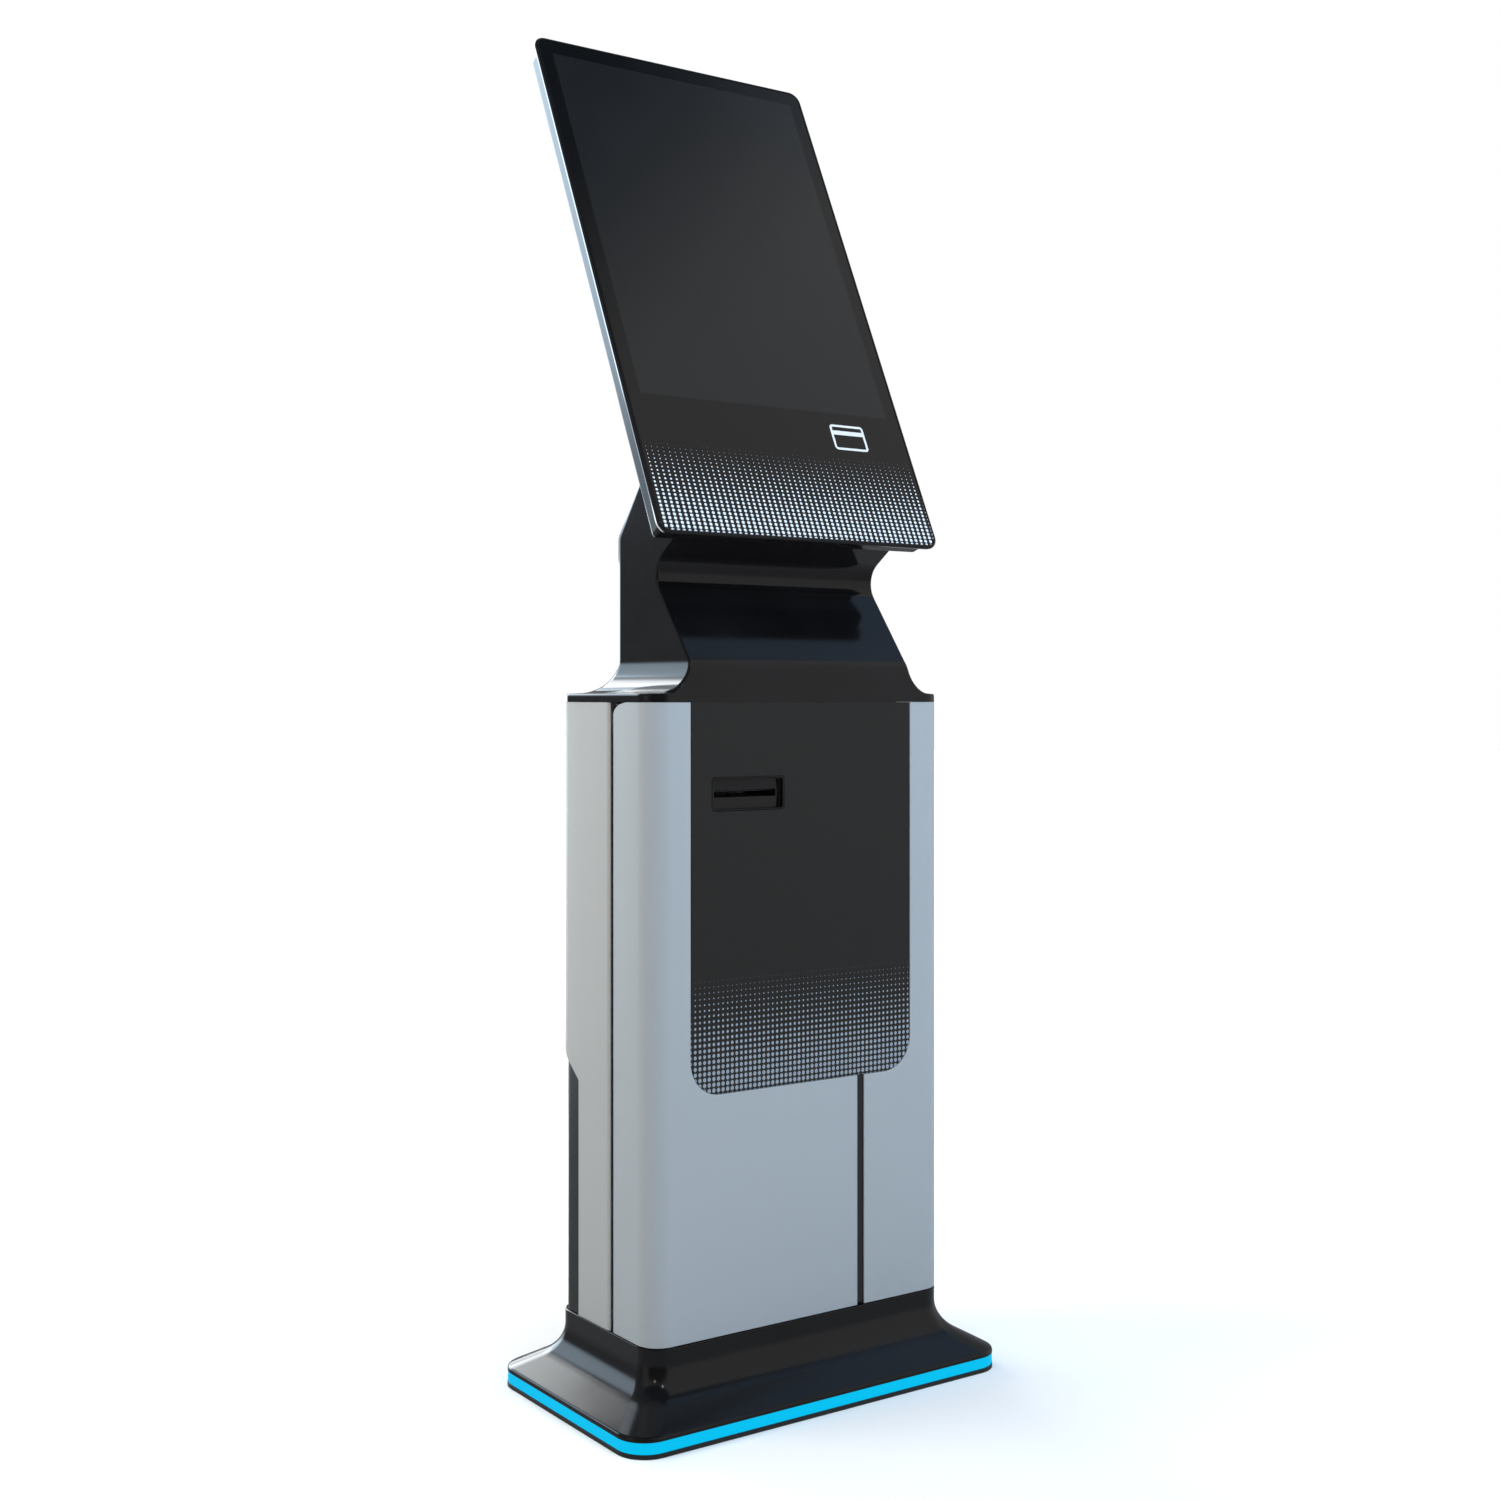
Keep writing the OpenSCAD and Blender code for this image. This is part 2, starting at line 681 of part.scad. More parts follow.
module door_skin_right() color(light_grey) difference() {
    door_shell(seam_x + seam_w, side_x + 1);
    x_rod(side_x - 5, side_x + 5, lock_y, lock_z, lock_r + 0.1);
}

module insert_panel() color([0.18, 0.18, 0.18]) difference() {
    intersection() {
        insert_prism(0.4);
        box([-ped_w, front_y, insert_z], [ped_w, front_y + insert_t, door_top]);
    }
    slot_block(slot_w + 2 * bezel_lip, slot_h + 2 * bezel_lip, front_y - 1, 0);
}

module door_frame() color(gloss_black) difference() {
    box([-flat_half, front_y + skin_t, door_bottom + 2], [flat_half, door_inner, door_top - 2]);
    slot_block(slot_w + 2 * bezel_lip, slot_h + 2 * bezel_lip, front_y - 1, 0);
}

module door_rail(z) color(zinc) translate([0, 0, z]) linear_extrude(2) intersection() {
    ped_outline(skin_t + 0.2);
    translate([-ped_w, door_inner]) square([2 * ped_w, door_rear - 2 - door_inner]);
}

module door_rail_top() door_rail(door_top - 4);
module door_rail_bottom() door_rail(door_bottom + 2);

// Block centred on the slot, w wide and h high, from y0 to y1
module slot_block(w, h, y0, y1) translate([slot_x - w / 2, y0, slot_z - h / 2]) cube([w, y1 - y0, h]);

// Recessed bezel with the paper mouth
module slot_bezel() color(gloss_black) {
    rim = 2 * bezel_lip - 0.2;
    difference() {
        union() {
            slot_block(slot_w + rim, slot_h + rim, front_y, front_y + bezel_depth);
            slot_block(mouth_w + 8, 2 * mouth_h + 1, front_y + 1, front_y + bezel_depth + 4);
        }
        slot_block(slot_w, slot_h, front_y - 1, front_y + bezel_floor);
        slot_block(mouth_w, mouth_h, front_y - 1, 0);
    }
}

// Plan of a hinge arm: the knuckle and the edge of the plate that it grows from
module hinge_arm(edge) hull() {
    translate([hinge_x, hinge_y]) circle(knuckle_r, $fn = 32);
    polygon(edge);
}

module hinge_bracket(z, pin_low) color(zinc) {
    translate([0, 0, z]) linear_extrude(3) hinge_arm([
        [hinge_x + 2, hinge_y - 2], [hinge_x + 14, post_front_y - 3],
        [hinge_x + 14, post_front_y], [hinge_x + 6, post_front_y]]);
    box([hinge_x + 3, post_front_y - 2, z], [hinge_x + 24, post_front_y, z + 3]);
    translate([hinge_x, hinge_y, pin_low]) cylinder(r = hinge_pin_r, h = 20);
}

module hinge_bracket_top() hinge_bracket(hinge_z_top, hinge_z_top - 17.5);
module hinge_bracket_bottom() hinge_bracket(hinge_z_bottom, hinge_z_bottom + 0.5);

module hinge_leaf(z) color(zinc) translate([0, 0, z]) linear_extrude(leaf_t) difference() {
    union() {
        hinge_arm([
            [hinge_x + 3, door_rear - 6], [hinge_x + 12, door_rear - 6],
            [hinge_x + 12, door_rear - 8], [hinge_x + 3, door_rear - 8]]);
        translate([-side_x + skin_t, door_rear - 35]) square([20, 29]);
    }
    translate([hinge_x, hinge_y]) circle(hinge_pin_r + running);
}

module hinge_leaf_top() hinge_leaf(hinge_z_top - 8);
module hinge_leaf_bottom() hinge_leaf(hinge_z_bottom + 6);

module lock_barrel() color("silver") difference() {
    union() {
        x_rod(side_x - 20, side_x + 0.1, lock_y, lock_z, lock_r);
        x_rod(side_x, side_x + 2, lock_y, lock_z, lock_r + 2.5);
    }
    x_rod(side_x - 21, side_x + 3, lock_y, lock_z, plug_r + running);
}

// Key plug with the cam that turns behind the strike
module lock_plug() color("gold") {
    difference() {
        x_rod(cam_x, side_x + 2.5, lock_y, lock_z, plug_r);
        box([side_x - 12, lock_y - 3.5, lock_z - 0.6], [side_x + 3, lock_y + 3.5, lock_z + 0.6]);
    }
    box([cam_x, lock_y, lock_z - cam_w / 2], [cam_x + 3, lock_y + cam_len, lock_z + cam_w / 2]);
    x_rod(cam_x, cam_x + 3, lock_y, lock_z, cam_w / 2);
}

module lock_strike() color(zinc) {
    arm_x = cam_x + 4.5;
    arm_t = 2;
    z0 = lock_z + cam_w + 6;
    z1 = z0 + 22;
    lug_y = lock_y - cam_w / 2 - 4;
    box([arm_x, lug_y, z0], [arm_x + arm_t, post_front_y, z1]);
    box([arm_x - 8.5, lug_y, z0], [arm_x, lug_y + arm_t, z1]);
    box([post_front_x, post_front_y - arm_t, z0], [arm_x, post_front_y, z1]);
}

// ---- Display head ----

module head_rrect(inset, r) translate([0, head_l / 2]) rrect(head_w - 2 * inset, head_l - 2 * inset, r);

module head_bezel() color(gloss_black) head_place() difference() {
    translate([0, 0, -bezel_t]) linear_extrude(bezel_t) head_rrect(0, head_r);
    translate([0, 0, -glass_edge]) linear_extrude(bezel_t) head_rrect(glass_edge, head_r - 4);
    translate([0, 0, -bezel_t - 1]) linear_extrude(bezel_t) head_rrect(12, 8);
}

module cover_glass() color([0.1, 0.11, 0.12]) head_place() translate([0, 0, -glass_edge])
    linear_extrude(glass_t) head_rrect(glass_edge + 0.3, head_r - 4.3);

module lcd_panel() color([0.2, 0.22, 0.24]) head_place()
    translate([-screen_w / 2 - 7, screen_s - screen_l / 2 - 7, -16])
        cube([screen_w + 14, screen_l + 14, 16 - glass_edge]);

module head_housing() color(gloss_black) head_place() difference() {
    translate([0, 0, -head_t]) linear_extrude(head_t - bezel_t) head_rrect(head_step, housing_r);
    translate([0, 0, -head_t + housing_wall]) linear_extrude(head_t)
        head_rrect(head_step + housing_wall, housing_r - housing_wall);
    translate([-70, 18, -head_t - 1]) cube([140, 100, 10]);
}

module head_bracket() color(zinc) head_place() {
    difference() {
        translate([-95, 20, -plate_depth]) cube([190, 290, 3]);
        for (x = [-50, 50], y = [150, 250])
            translate([x, y, -plate_depth - 1]) cylinder(r = 2.2, h = 5);
    }
    for (x = [-80, 68]) translate([x, 190, -plate_depth + 2.9]) cube([12, 110, plate_depth - 18.9]);
}

module display_board() color(pcb_green) head_place() translate([-60, 340, -22]) cube([120, 90, 6]);

module reader_board() color(pcb_green) head_place()
    translate([reader_x - 30, reader_s - 22, -9.5]) cube([60, 44, 5.5]);

module head_screws() color("silver") head_place() for (x = [-1, 1], s = [60, 350, 640])
    translate([x * (head_w / 2 - 26), s, -head_t - 1.5]) cylinder(r = 3.5, h = 1.5);

module panel_screws() color("silver") for (x = [-130, 130], z = [440, 640, 800])
    y_rod(rear_y - rear_inset, rear_y - rear_inset + 2, x, z, 4);

base_plate();
led_strip();
led_diffuser();
plinth_cover();
post_front_left();
post_front_right();
post_rear_left();
post_rear_right();
upper_frame();
neck_base();
equipment_shelf();
side_cover_left();
side_cover_right();
rear_panel();
cap_neck();
neck_mast();
power_supply();
power_inlet();
power_switch();
fan_housing();
fan_rotor();
fan_grille();
controller();
printer_chassis();
printer_mechanism();
printer_lid();
lid_pins();
platen_roller();
roll_spindle();
paper_roll();
feed_button();
hinge_bracket_top();
hinge_bracket_bottom();
lock_strike();
door_skin_left();
door_skin_right();
door_frame();
door_rail_top();
door_rail_bottom();
insert_panel();
slot_bezel();
hinge_leaf_top();
hinge_leaf_bottom();
lock_barrel();
lock_plug();
head_bezel();
cover_glass();
lcd_panel();
head_housing();
head_bracket();
display_board();
reader_board();
head_screws();
panel_screws();
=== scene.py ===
# Free-standing self checkout kiosk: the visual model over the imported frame.
# Pieces are shaped in millimetres and placed in metres in the frame's own axes:
# +Z up, customer side towards -Y, +X to the customer's right.
import json
import logging
import math
from dataclasses import dataclass, field
from enum import Enum
from operator import itemgetter
from typing import Callable, Iterable, Sequence

import bmesh
import bpy
from mathutils import Matrix, Vector


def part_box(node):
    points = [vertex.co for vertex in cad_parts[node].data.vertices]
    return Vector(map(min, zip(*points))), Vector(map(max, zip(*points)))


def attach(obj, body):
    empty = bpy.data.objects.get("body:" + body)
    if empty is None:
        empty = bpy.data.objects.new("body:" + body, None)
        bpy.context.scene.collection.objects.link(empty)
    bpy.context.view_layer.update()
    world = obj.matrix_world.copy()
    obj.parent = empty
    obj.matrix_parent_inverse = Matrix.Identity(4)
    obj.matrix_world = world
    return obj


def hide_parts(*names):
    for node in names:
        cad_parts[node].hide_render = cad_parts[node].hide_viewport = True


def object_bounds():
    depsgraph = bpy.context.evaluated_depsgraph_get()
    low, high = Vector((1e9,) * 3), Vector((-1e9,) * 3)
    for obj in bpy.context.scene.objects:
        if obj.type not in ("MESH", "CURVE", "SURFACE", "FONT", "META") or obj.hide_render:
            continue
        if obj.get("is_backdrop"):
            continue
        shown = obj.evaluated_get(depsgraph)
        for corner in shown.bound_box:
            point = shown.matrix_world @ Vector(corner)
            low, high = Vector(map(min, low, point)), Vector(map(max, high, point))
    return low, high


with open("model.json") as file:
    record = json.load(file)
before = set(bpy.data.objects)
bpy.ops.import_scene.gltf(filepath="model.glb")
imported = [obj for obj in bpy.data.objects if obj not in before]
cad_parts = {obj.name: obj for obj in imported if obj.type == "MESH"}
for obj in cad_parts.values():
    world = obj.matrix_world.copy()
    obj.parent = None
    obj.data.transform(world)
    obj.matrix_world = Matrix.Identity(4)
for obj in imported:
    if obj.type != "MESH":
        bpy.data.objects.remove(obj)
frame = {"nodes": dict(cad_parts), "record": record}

CAD_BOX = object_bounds()
MM = 0.001
WELD = 0.002
CAD_WELD = 0.005
FLAT = math.radians(0.6)
EVEN_WEIGHT = 60
LOG = logging.getLogger("kiosk")

Pair = tuple[float, float]
Colour = tuple[float, float, float]


class Body(Enum):
    """Bodies that the new pieces ride on."""

    FRAME = "root"
    DOOR = "door"


class Round(Enum):
    """How an edge is eased: width in millimetres and number of steps."""

    NONE = (0.0, 0)
    BURR = (0.25, 2)
    SHEET = (0.5, 3)
    MOULDED = (0.9, 3)


def span(node: str) -> tuple[Vector, Vector]:
    """Finds a CAD node's box.

    Args:
        node: name of the CAD node.

    Returns:
        Its lowest and highest corners in millimetres.
    """
    low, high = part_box(node)
    return low / MM, high / MM


# ---------------------------------------------------------------- modelling


class Blank:
    """A piece being shaped in millimetres with bmesh operators."""

    def __init__(self) -> None:
        """Starts with nothing."""
        self.bm = bmesh.new()

    def vertices_where(self, test: Callable[[Vector], bool]) -> list[bmesh.types.BMVert]:
        """Lists the vertices whose place passes a test."""
        return [v for v in self.bm.verts if test(v.co)]

    def plate(
        self, corners: Sequence[Pair], rounds: Sequence[float], plane: Matrix, steps: int = 10
    ) -> bmesh.types.BMFace:
        """Adds one flat face with rounded corners.

        Args:
            corners: corner points in the plane, anticlockwise.
            rounds: distance from each corner at which its rounding starts.
            plane: placement of the plane's X and Y.
            steps: steps in each rounding.

        Returns:
            The new face.
        """
        known = set(self.bm.faces)
        verts = [self.bm.verts.new(plane @ Vector((x, y, 0.0))) for x, y in corners]
        self.bm.faces.new(verts)
        for vert, size in zip(verts, rounds):
            if size > 0.0:
                bmesh.ops.bevel(
                    self.bm, geom=[vert], offset=size, offset_type="OFFSET", segments=steps,
                    profile=0.5, affect="VERTICES", material=-1)
        return next(f for f in self.bm.faces if f not in known)

    def ring(
        self, width: float, depth: float, rounds: Sequence[float], plane: Matrix, steps: int = 8
    ) -> list[bmesh.types.BMEdge]:
        """Adds one closed rounded rectangle of edges, centred on a plane's origin.

        Args:
            width: size along the plane's X.
            depth: size along the plane's Y.
            rounds: radii of the two low-Y corners and of the two high-Y corners.
            plane: placement of the plane.
            steps: steps in each corner.

        Returns:
            The edges of the ring.
        """
        x, y = width / 2, depth / 2
        low, high = rounds
        face = self.plate([(-x, -y), (x, -y), (x, y), (-x, y)], [low, low, high, high], plane, steps)
        edges = list(face.edges)
        bmesh.ops.delete(self.bm, geom=[face], context="FACES_ONLY")
        return edges

    def skin_over(self, rings: Sequence[list[bmesh.types.BMEdge]], closed: bool = False) -> None:
        """Bridges rings one after the other, and back to the first when closed."""
        pairs = list(zip(rings, rings[1:]))
        if closed:
            pairs.append((rings[-1], rings[0]))
        for one, other in pairs:
            bmesh.ops.bridge_loops(self.bm, edges=one + other)

    def fill(self, ring: list[bmesh.types.BMEdge]) -> None:
        """Closes a ring with a face."""
        bmesh.ops.edgeloop_fill(self.bm, edges=ring)

    def thicken(self, faces: Iterable[bmesh.types.BMFace], way: Sequence[float]) -> None:
        """Extrudes flat faces into a closed solid along a direction."""
        made = bmesh.ops.extrude_face_region(self.bm, geom=list(faces), use_keep_orig=True)
        tops = [g for g in made["geom"] if isinstance(g, bmesh.types.BMVert)]
        bmesh.ops.translate(self.bm, vec=Vector(way), verts=tops)

    def fold(
        self, edge_verts: Iterable[bmesh.types.BMVert], centre: Pair, angle: float, steps: int = 12
    ) -> list[bmesh.types.BMVert]:
        """Bends a sheet onwards from a vertical edge, round a vertical axis.

        Args:
            edge_verts: the two vertices of the edge.
            centre: X and Y of the axis.
            angle: turn in degrees, anticlockwise from above.
            steps: steps in the bend.

        Returns:
            The vertices of the edge at the end of the bend.
        """
        verts = list(edge_verts)
        edge = next(e for e in verts[0].link_edges if e.other_vert(verts[0]) is verts[1])
        made = bmesh.ops.spin(
            self.bm, geom=[*verts, edge], cent=(*centre, 0.0), axis=(0.0, 0.0, 1.0),
            angle=math.radians(angle), steps=steps, use_merge=False)
        return [g for g in made["geom_last"] if isinstance(g, bmesh.types.BMVert)]

    def run(self, edge_verts: Iterable[bmesh.types.BMVert], way: Sequence[float]) -> list[bmesh.types.BMVert]:
        """Carries a sheet straight on from an edge and returns the new edge's vertices."""
        verts = list(edge_verts)
        edge = next(e for e in verts[0].link_edges if e.other_vert(verts[0]) is verts[1])
        made = bmesh.ops.extrude_edge_only(self.bm, edges=[edge])
        ends = [g for g in made["geom"] if isinstance(g, bmesh.types.BMVert)]
        bmesh.ops.translate(self.bm, vec=Vector(way), verts=ends)
        return ends

    def mirror_x(self) -> None:
        """Turns the piece into its mirror image across the middle plane."""
        bmesh.ops.scale(self.bm, vec=(-1.0, 1.0, 1.0), verts=self.bm.verts[:])
        bmesh.ops.reverse_faces(self.bm, faces=self.bm.faces[:])


@dataclass(frozen=True)
class Sheet:
    """Sheet thickness given to an open surface, and the side that its faces look to."""

    thickness: float
    outward: Vector


@dataclass
class Piece:
    """What a finished piece is called, made of and fixed to."""

    name: str
    material: bpy.types.Material
    body: str
    stands_for: Sequence[str] = ()
    slot: str = ""
    ease: Round = Round.SHEET
    sheet: Sheet | None = None
    ease_angle: float = 30.0

    def finish(self, blank: Blank) -> bpy.types.Object:
        """Makes the Blender object and fixes it to its body.

        Args:
            blank: the shaped piece in millimetres.

        Returns:
            The object.
        """
        bm = blank.bm
        bmesh.ops.remove_doubles(bm, verts=bm.verts[:], dist=WELD)
        if self.sheet is None:
            bmesh.ops.recalc_face_normals(bm, faces=bm.faces[:])
        else:
            self._face_outward(bm)
        bmesh.ops.scale(bm, vec=(MM, MM, MM), verts=bm.verts[:])
        mesh = bpy.data.meshes.new(self.name)
        bm.to_mesh(mesh)
        bm.free()
        mesh.polygons.foreach_set("use_smooth", [True] * len(mesh.polygons))
        mesh.set_sharp_from_angle(angle=math.radians(self.ease_angle))
        mesh.materials.append(self.material)
        obj = bpy.data.objects.new(self.name, mesh)
        bpy.context.scene.collection.objects.link(obj)
        self._modify(obj)
        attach(obj, self.body)
        if self.stands_for:
            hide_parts(*self.stands_for)
        LOG.info("%s: %d faces, rides on %s", self.name, len(mesh.polygons), self.body)
        return obj

    def _face_outward(self, bm: bmesh.types.BMesh) -> None:
        """Makes an open sheet's faces agree and look outwards."""
        bmesh.ops.recalc_face_normals(bm, faces=bm.faces[:])
        facing = sum(f.calc_area() * f.normal.dot(self.sheet.outward) for f in bm.faces)
        if facing < 0.0:
            bmesh.ops.reverse_faces(bm, faces=bm.faces[:])

    def _modify(self, obj: bpy.types.Object) -> None:
        """Adds thickness, eased edges and even shading."""
        if self.sheet is not None:
            solid = obj.modifiers.new("Thickness", "SOLIDIFY")
            solid.thickness = self.sheet.thickness * MM
            solid.offset = -1.0
            solid.use_even_offset = True
        width, steps = self.ease.value
        if not steps:
            even = obj.modifiers.new("Even shading", "WEIGHTED_NORMAL")
            even.mode, even.weight, even.keep_sharp = "FACE_AREA", EVEN_WEIGHT, True
        else:
            ease = obj.modifiers.new("Eased edges", "BEVEL")
            ease.width = width * MM
            ease.segments = steps
            ease.limit_method = "ANGLE"
            ease.angle_limit = math.radians(self.ease_angle)
            ease.harden_normals = True
            ease.miter_outer = "MITER_ARC"


def front_plane(y: float) -> Matrix:
    """Places a plane at depth y, its X across and its Y up, looking to the front."""
    return Matrix.Translation((0.0, y, 0.0)) @ Matrix.Rotation(math.pi / 2, 4, "X")


def side_plane(x: float) -> Matrix:
    """Places a plane at x, its X along the depth and its Y up."""
    return Matrix(((0, 0, 1, x), (1, 0, 0, 0), (0, 1, 0, 0), (0, 0, 0, 1)))


def level_plane(z: float, y: float = 0.0) -> Matrix:
    """Places a level plane at height z, centred on depth y."""
    return Matrix.Translation((0.0, y, z))


# ---------------------------------------------------------------- materials

Socket = bpy.types.NodeSocket


class Recipe:
    """One node material under construction."""

    def __init__(self, name: str) -> None:
        """Starts with a Principled shader."""
        self.material = bpy.data.materials.new(name)
        self.material.use_nodes = True
        self.tree = self.material.node_tree
        self.shader = self.tree.nodes["Principled BSDF"]

    def add(self, kind: str, **settings: object) -> bpy.types.Node:
        """Adds a node and sets its properties."""
        node = self.tree.nodes.new(kind)
        for key, value in settings.items():
            setattr(node, key, value)
        return node

    def feed(self, socket: Socket, value: object) -> None:
        """Links a socket or sets a constant."""
        if isinstance(value, bpy.types.NodeSocket):
            self.tree.links.new(value, socket)
        else:
            socket.default_value = value

    def place(
        self, at: Sequence[float] = (0, 0, 0), turn: Sequence[float] = (0, 0, 0), unit: float = 1.0
    ) -> Socket:
        """Reads object coordinates in a local frame.

        Args:
            at: origin of the local frame in metres.
            turn: its turn in radians.
            unit: length of one unit in metres.

        Returns:
            The coordinates' socket.
        """
        mapping = self.add("ShaderNodeMapping", vector_type="TEXTURE")
        mapping.inputs["Location"].default_value = at
        mapping.inputs["Rotation"].default_value = turn
        mapping.inputs["Scale"].default_value = (unit, unit, unit)
        self.tree.links.new(self.add("ShaderNodeTexCoord").outputs["Object"], mapping.inputs["Vector"])
        return mapping.outputs["Vector"]

    def noise(self, scale: float, detail: float = 2.0, vector: Socket | None = None) -> Socket:
        """Adds a noise pattern, scale in cells per metre."""
        node = self.add("ShaderNodeTexNoise")
        node.inputs["Scale"].default_value = scale
        node.inputs["Detail"].default_value = detail
        self.tree.links.new(vector or self.place(), node.inputs["Vector"])
        return node.outputs["Fac"]

    def math(self, operation: str, a: object, b: object = 0.0, clamp: bool = False) -> Socket:
        """Adds a Math node."""
        node = self.add("ShaderNodeMath", operation=operation, use_clamp=clamp)
        self.feed(node.inputs[0], a)
        self.feed(node.inputs[1], b)
        return node.outputs[0]

    def remap(self, value: Socket, source: Pair, target: Pair, smooth: bool = False) -> Socket:
        """Maps a range of values onto another, clamped."""
        node = self.add("ShaderNodeMapRange", interpolation_type="SMOOTHSTEP" if smooth else "LINEAR")
        self.feed(node.inputs["Value"], value)
        for name, number in zip(("From Min", "From Max", "To Min", "To Max"), (*source, *target)):
            node.inputs[name].default_value = number
        return node.outputs["Result"]

    def mix(self, factor: object, a: object, b: object) -> Socket:
        """Mixes two colours."""
        node = self.add("ShaderNodeMix", data_type="RGBA")
        self.feed(node.inputs["Factor"], factor)
        for socket, value in ((node.inputs[6], a), (node.inputs[7], b)):
            self.feed(socket, (*value, 1.0) if isinstance(value, tuple) else value)
        return node.outputs[2]

    def bump(self, height: Socket, depth: float, strength: float = 1.0) -> None:
        """Drives the shader's normal from a height, depth in metres."""
        node = self.add("ShaderNodeBump")
        node.inputs["Strength"].default_value = strength
        node.inputs["Distance"].default_value = depth
        self.tree.links.new(height, node.inputs["Height"])
        self.tree.links.new(node.outputs["Normal"], self.shader.inputs["Normal"])

    def set(self, **values: object) -> None:
        """Sets or links the shader's sockets; underscores stand for spaces."""
        for key, value in values.items():
            socket = self.shader.inputs[key.replace("_", " ")]
            self.feed(socket, (*value, 1.0) if isinstance(value, tuple) else value)


@dataclass(frozen=True)
class PowderCoat:
    """Sprayed and baked paint with a fine orange peel."""

    name: str
    colour: Colour
    roughness: float = 0.42
    peel: float = 0.00003
    grain: float = 1500.0
    specular: float = 0.4

    def make(self) -> bpy.types.Material:
        """Builds the material."""
        mix = Recipe(self.name)
        fine = mix.noise(self.grain, 3.0)
        broad = mix.noise(7.0, 2.0)
        darker = tuple(c * 0.955 for c in self.colour)
        mix.set(
            Base_Color=mix.mix(mix.remap(fine, (0.35, 0.65), (0.0, 1.0)), darker, self.colour),
            Roughness=mix.remap(broad, (0.3, 0.7), (self.roughness - 0.04, self.roughness + 0.04)),
            Specular_IOR_Level=self.specular)
        mix.bump(fine, self.peel)
        return mix.material


@dataclass(frozen=True)
class GlossMoulding:
    """High-gloss moulded plastic, with a faint ripple and finger haze."""

    name: str
    colour: Colour = (0.0035, 0.0035, 0.004)
    roughness: float = 0.09
    specular: float = 0.3
    ripple: float = 0.00001

    def make(self) -> bpy.types.Material:
        """Builds the material."""
        mix = Recipe(self.name)
        haze = mix.noise(9.0, 4.0)
        specks = mix.noise(2600.0, 2.0)
        lighter = tuple(c * 1.6 for c in self.colour)
        mix.set(
            Base_Color=mix.mix(mix.remap(haze, (0.35, 0.7), (0.0, 1.0)), self.colour, lighter),
            Roughness=mix.remap(haze, (0.3, 0.75), (self.roughness - 0.02, self.roughness + 0.05)),
            Specular_IOR_Level=self.specular)
        mix.bump(specks, self.ripple, 0.5)
        return mix.material


@dataclass(frozen=True)
class MouldedTexture:
    """Matt moulded plastic with a spark-eroded texture."""

    name: str
    colour: Colour
    roughness: float = 0.6
    depth: float = 0.00006

    def make(self) -> bpy.types.Material:
        """Builds the material."""
        mix = Recipe(self.name)
        grit = mix.noise(2200.0, 3.0)
        lighter = tuple(min(1.0, c * 1.25 + 0.004) for c in self.colour)
        mix.set(
            Base_Color=mix.mix(mix.remap(mix.noise(18.0, 3.0), (0.3, 0.7), (0.0, 1.0)), self.colour, lighter),
            Roughness=mix.remap(grit, (0.3, 0.7), (self.roughness - 0.06, self.roughness + 0.08)),
            Specular_IOR_Level=0.35)
        mix.bump(grit, self.depth)
        return mix.material


@dataclass(frozen=True)
class PlatedSteel:
    """Zinc-plated or chromed steel with rolling lines and cloudy plating."""

    name: str
    colour: Colour = (0.56, 0.57, 0.58)
    roughness: float = 0.34
    lines: float = 1.0

    def make(self) -> bpy.types.Material:
        """Builds the material."""
        mix = Recipe(self.name)
        along = mix.add("ShaderNodeMapping")
        along.inputs["Scale"].default_value = (1.0, 1.0, 0.03)
        mix.tree.links.new(mix.place(), along.inputs["Vector"])
        rolled = mix.noise(900.0, 4.0, along.outputs["Vector"])
        cloud = mix.noise(26.0, 3.0)
        dull = tuple(c * 0.82 for c in self.colour)
        mix.set(
            Metallic=1.0,
            Base_Color=mix.mix(mix.remap(cloud, (0.35, 0.65), (0.0, 1.0)), dull, self.colour),
            Roughness=mix.remap(rolled, (0.3, 0.7), (self.roughness - 0.07, self.roughness + 0.09)))
        mix.bump(rolled, 0.00002 * self.lines, 0.6)
        return mix.material


@dataclass(frozen=True)
class DotFade:
    """Printed rows of dots that shrink upwards; all sizes in millimetres."""

    pitch: Pair
    phase: Pair
    full_at: float
    gone_at: float
    radius: Pair
    height: float
    hold: float = 1.7
    blur: float = 0.3

    def mask(self, mix: Recipe, across: Socket, along: Socket) -> Socket:
        """Builds the print's coverage.

        Args:
            mix: the material under construction.
            across: coordinate across the print.
            along: coordinate along which the dots shrink.

        Returns:
            A socket that is 1 on a dot and 0 off it.
        """
        column = mix.math("DIVIDE", mix.math("SUBTRACT", across, self.phase[0]), self.pitch[0])
        row = mix.math("DIVIDE", mix.math("SUBTRACT", along, self.phase[1]), self.pitch[1])
        row_middle = mix.math("MULTIPLY_ADD", mix.math("ROUND", row), self.pitch[1])
        row_middle.node.inputs[2].default_value = self.phase[1]
        off_column = mix.math("SUBTRACT", column, mix.math("ROUND", column))
        dx = mix.math("MULTIPLY", off_column, self.pitch[0])
        off_row = mix.math("SUBTRACT", row, mix.math("ROUND", row))
        dy = mix.math("MULTIPLY", off_row, self.pitch[1] / self.height)
        far = mix.math("SQRT", mix.math("ADD", mix.math("POWER", mix.math("ABSOLUTE", dx), 2.0),
                                        mix.math("POWER", mix.math("ABSOLUTE", dy), 2.0)))
        climb = mix.remap(row_middle, (self.full_at, self.gone_at), (0.0, 1.0))
        eased = mix.math("POWER", climb, self.hold)
        size = mix.remap(eased, (0.0, 1.0), (self.radius[0], self.radius[1]))
        edge = mix.math("DIVIDE", mix.math("SUBTRACT", size, far), self.blur)
        return mix.math("ADD", edge, 0.5, clamp=True)


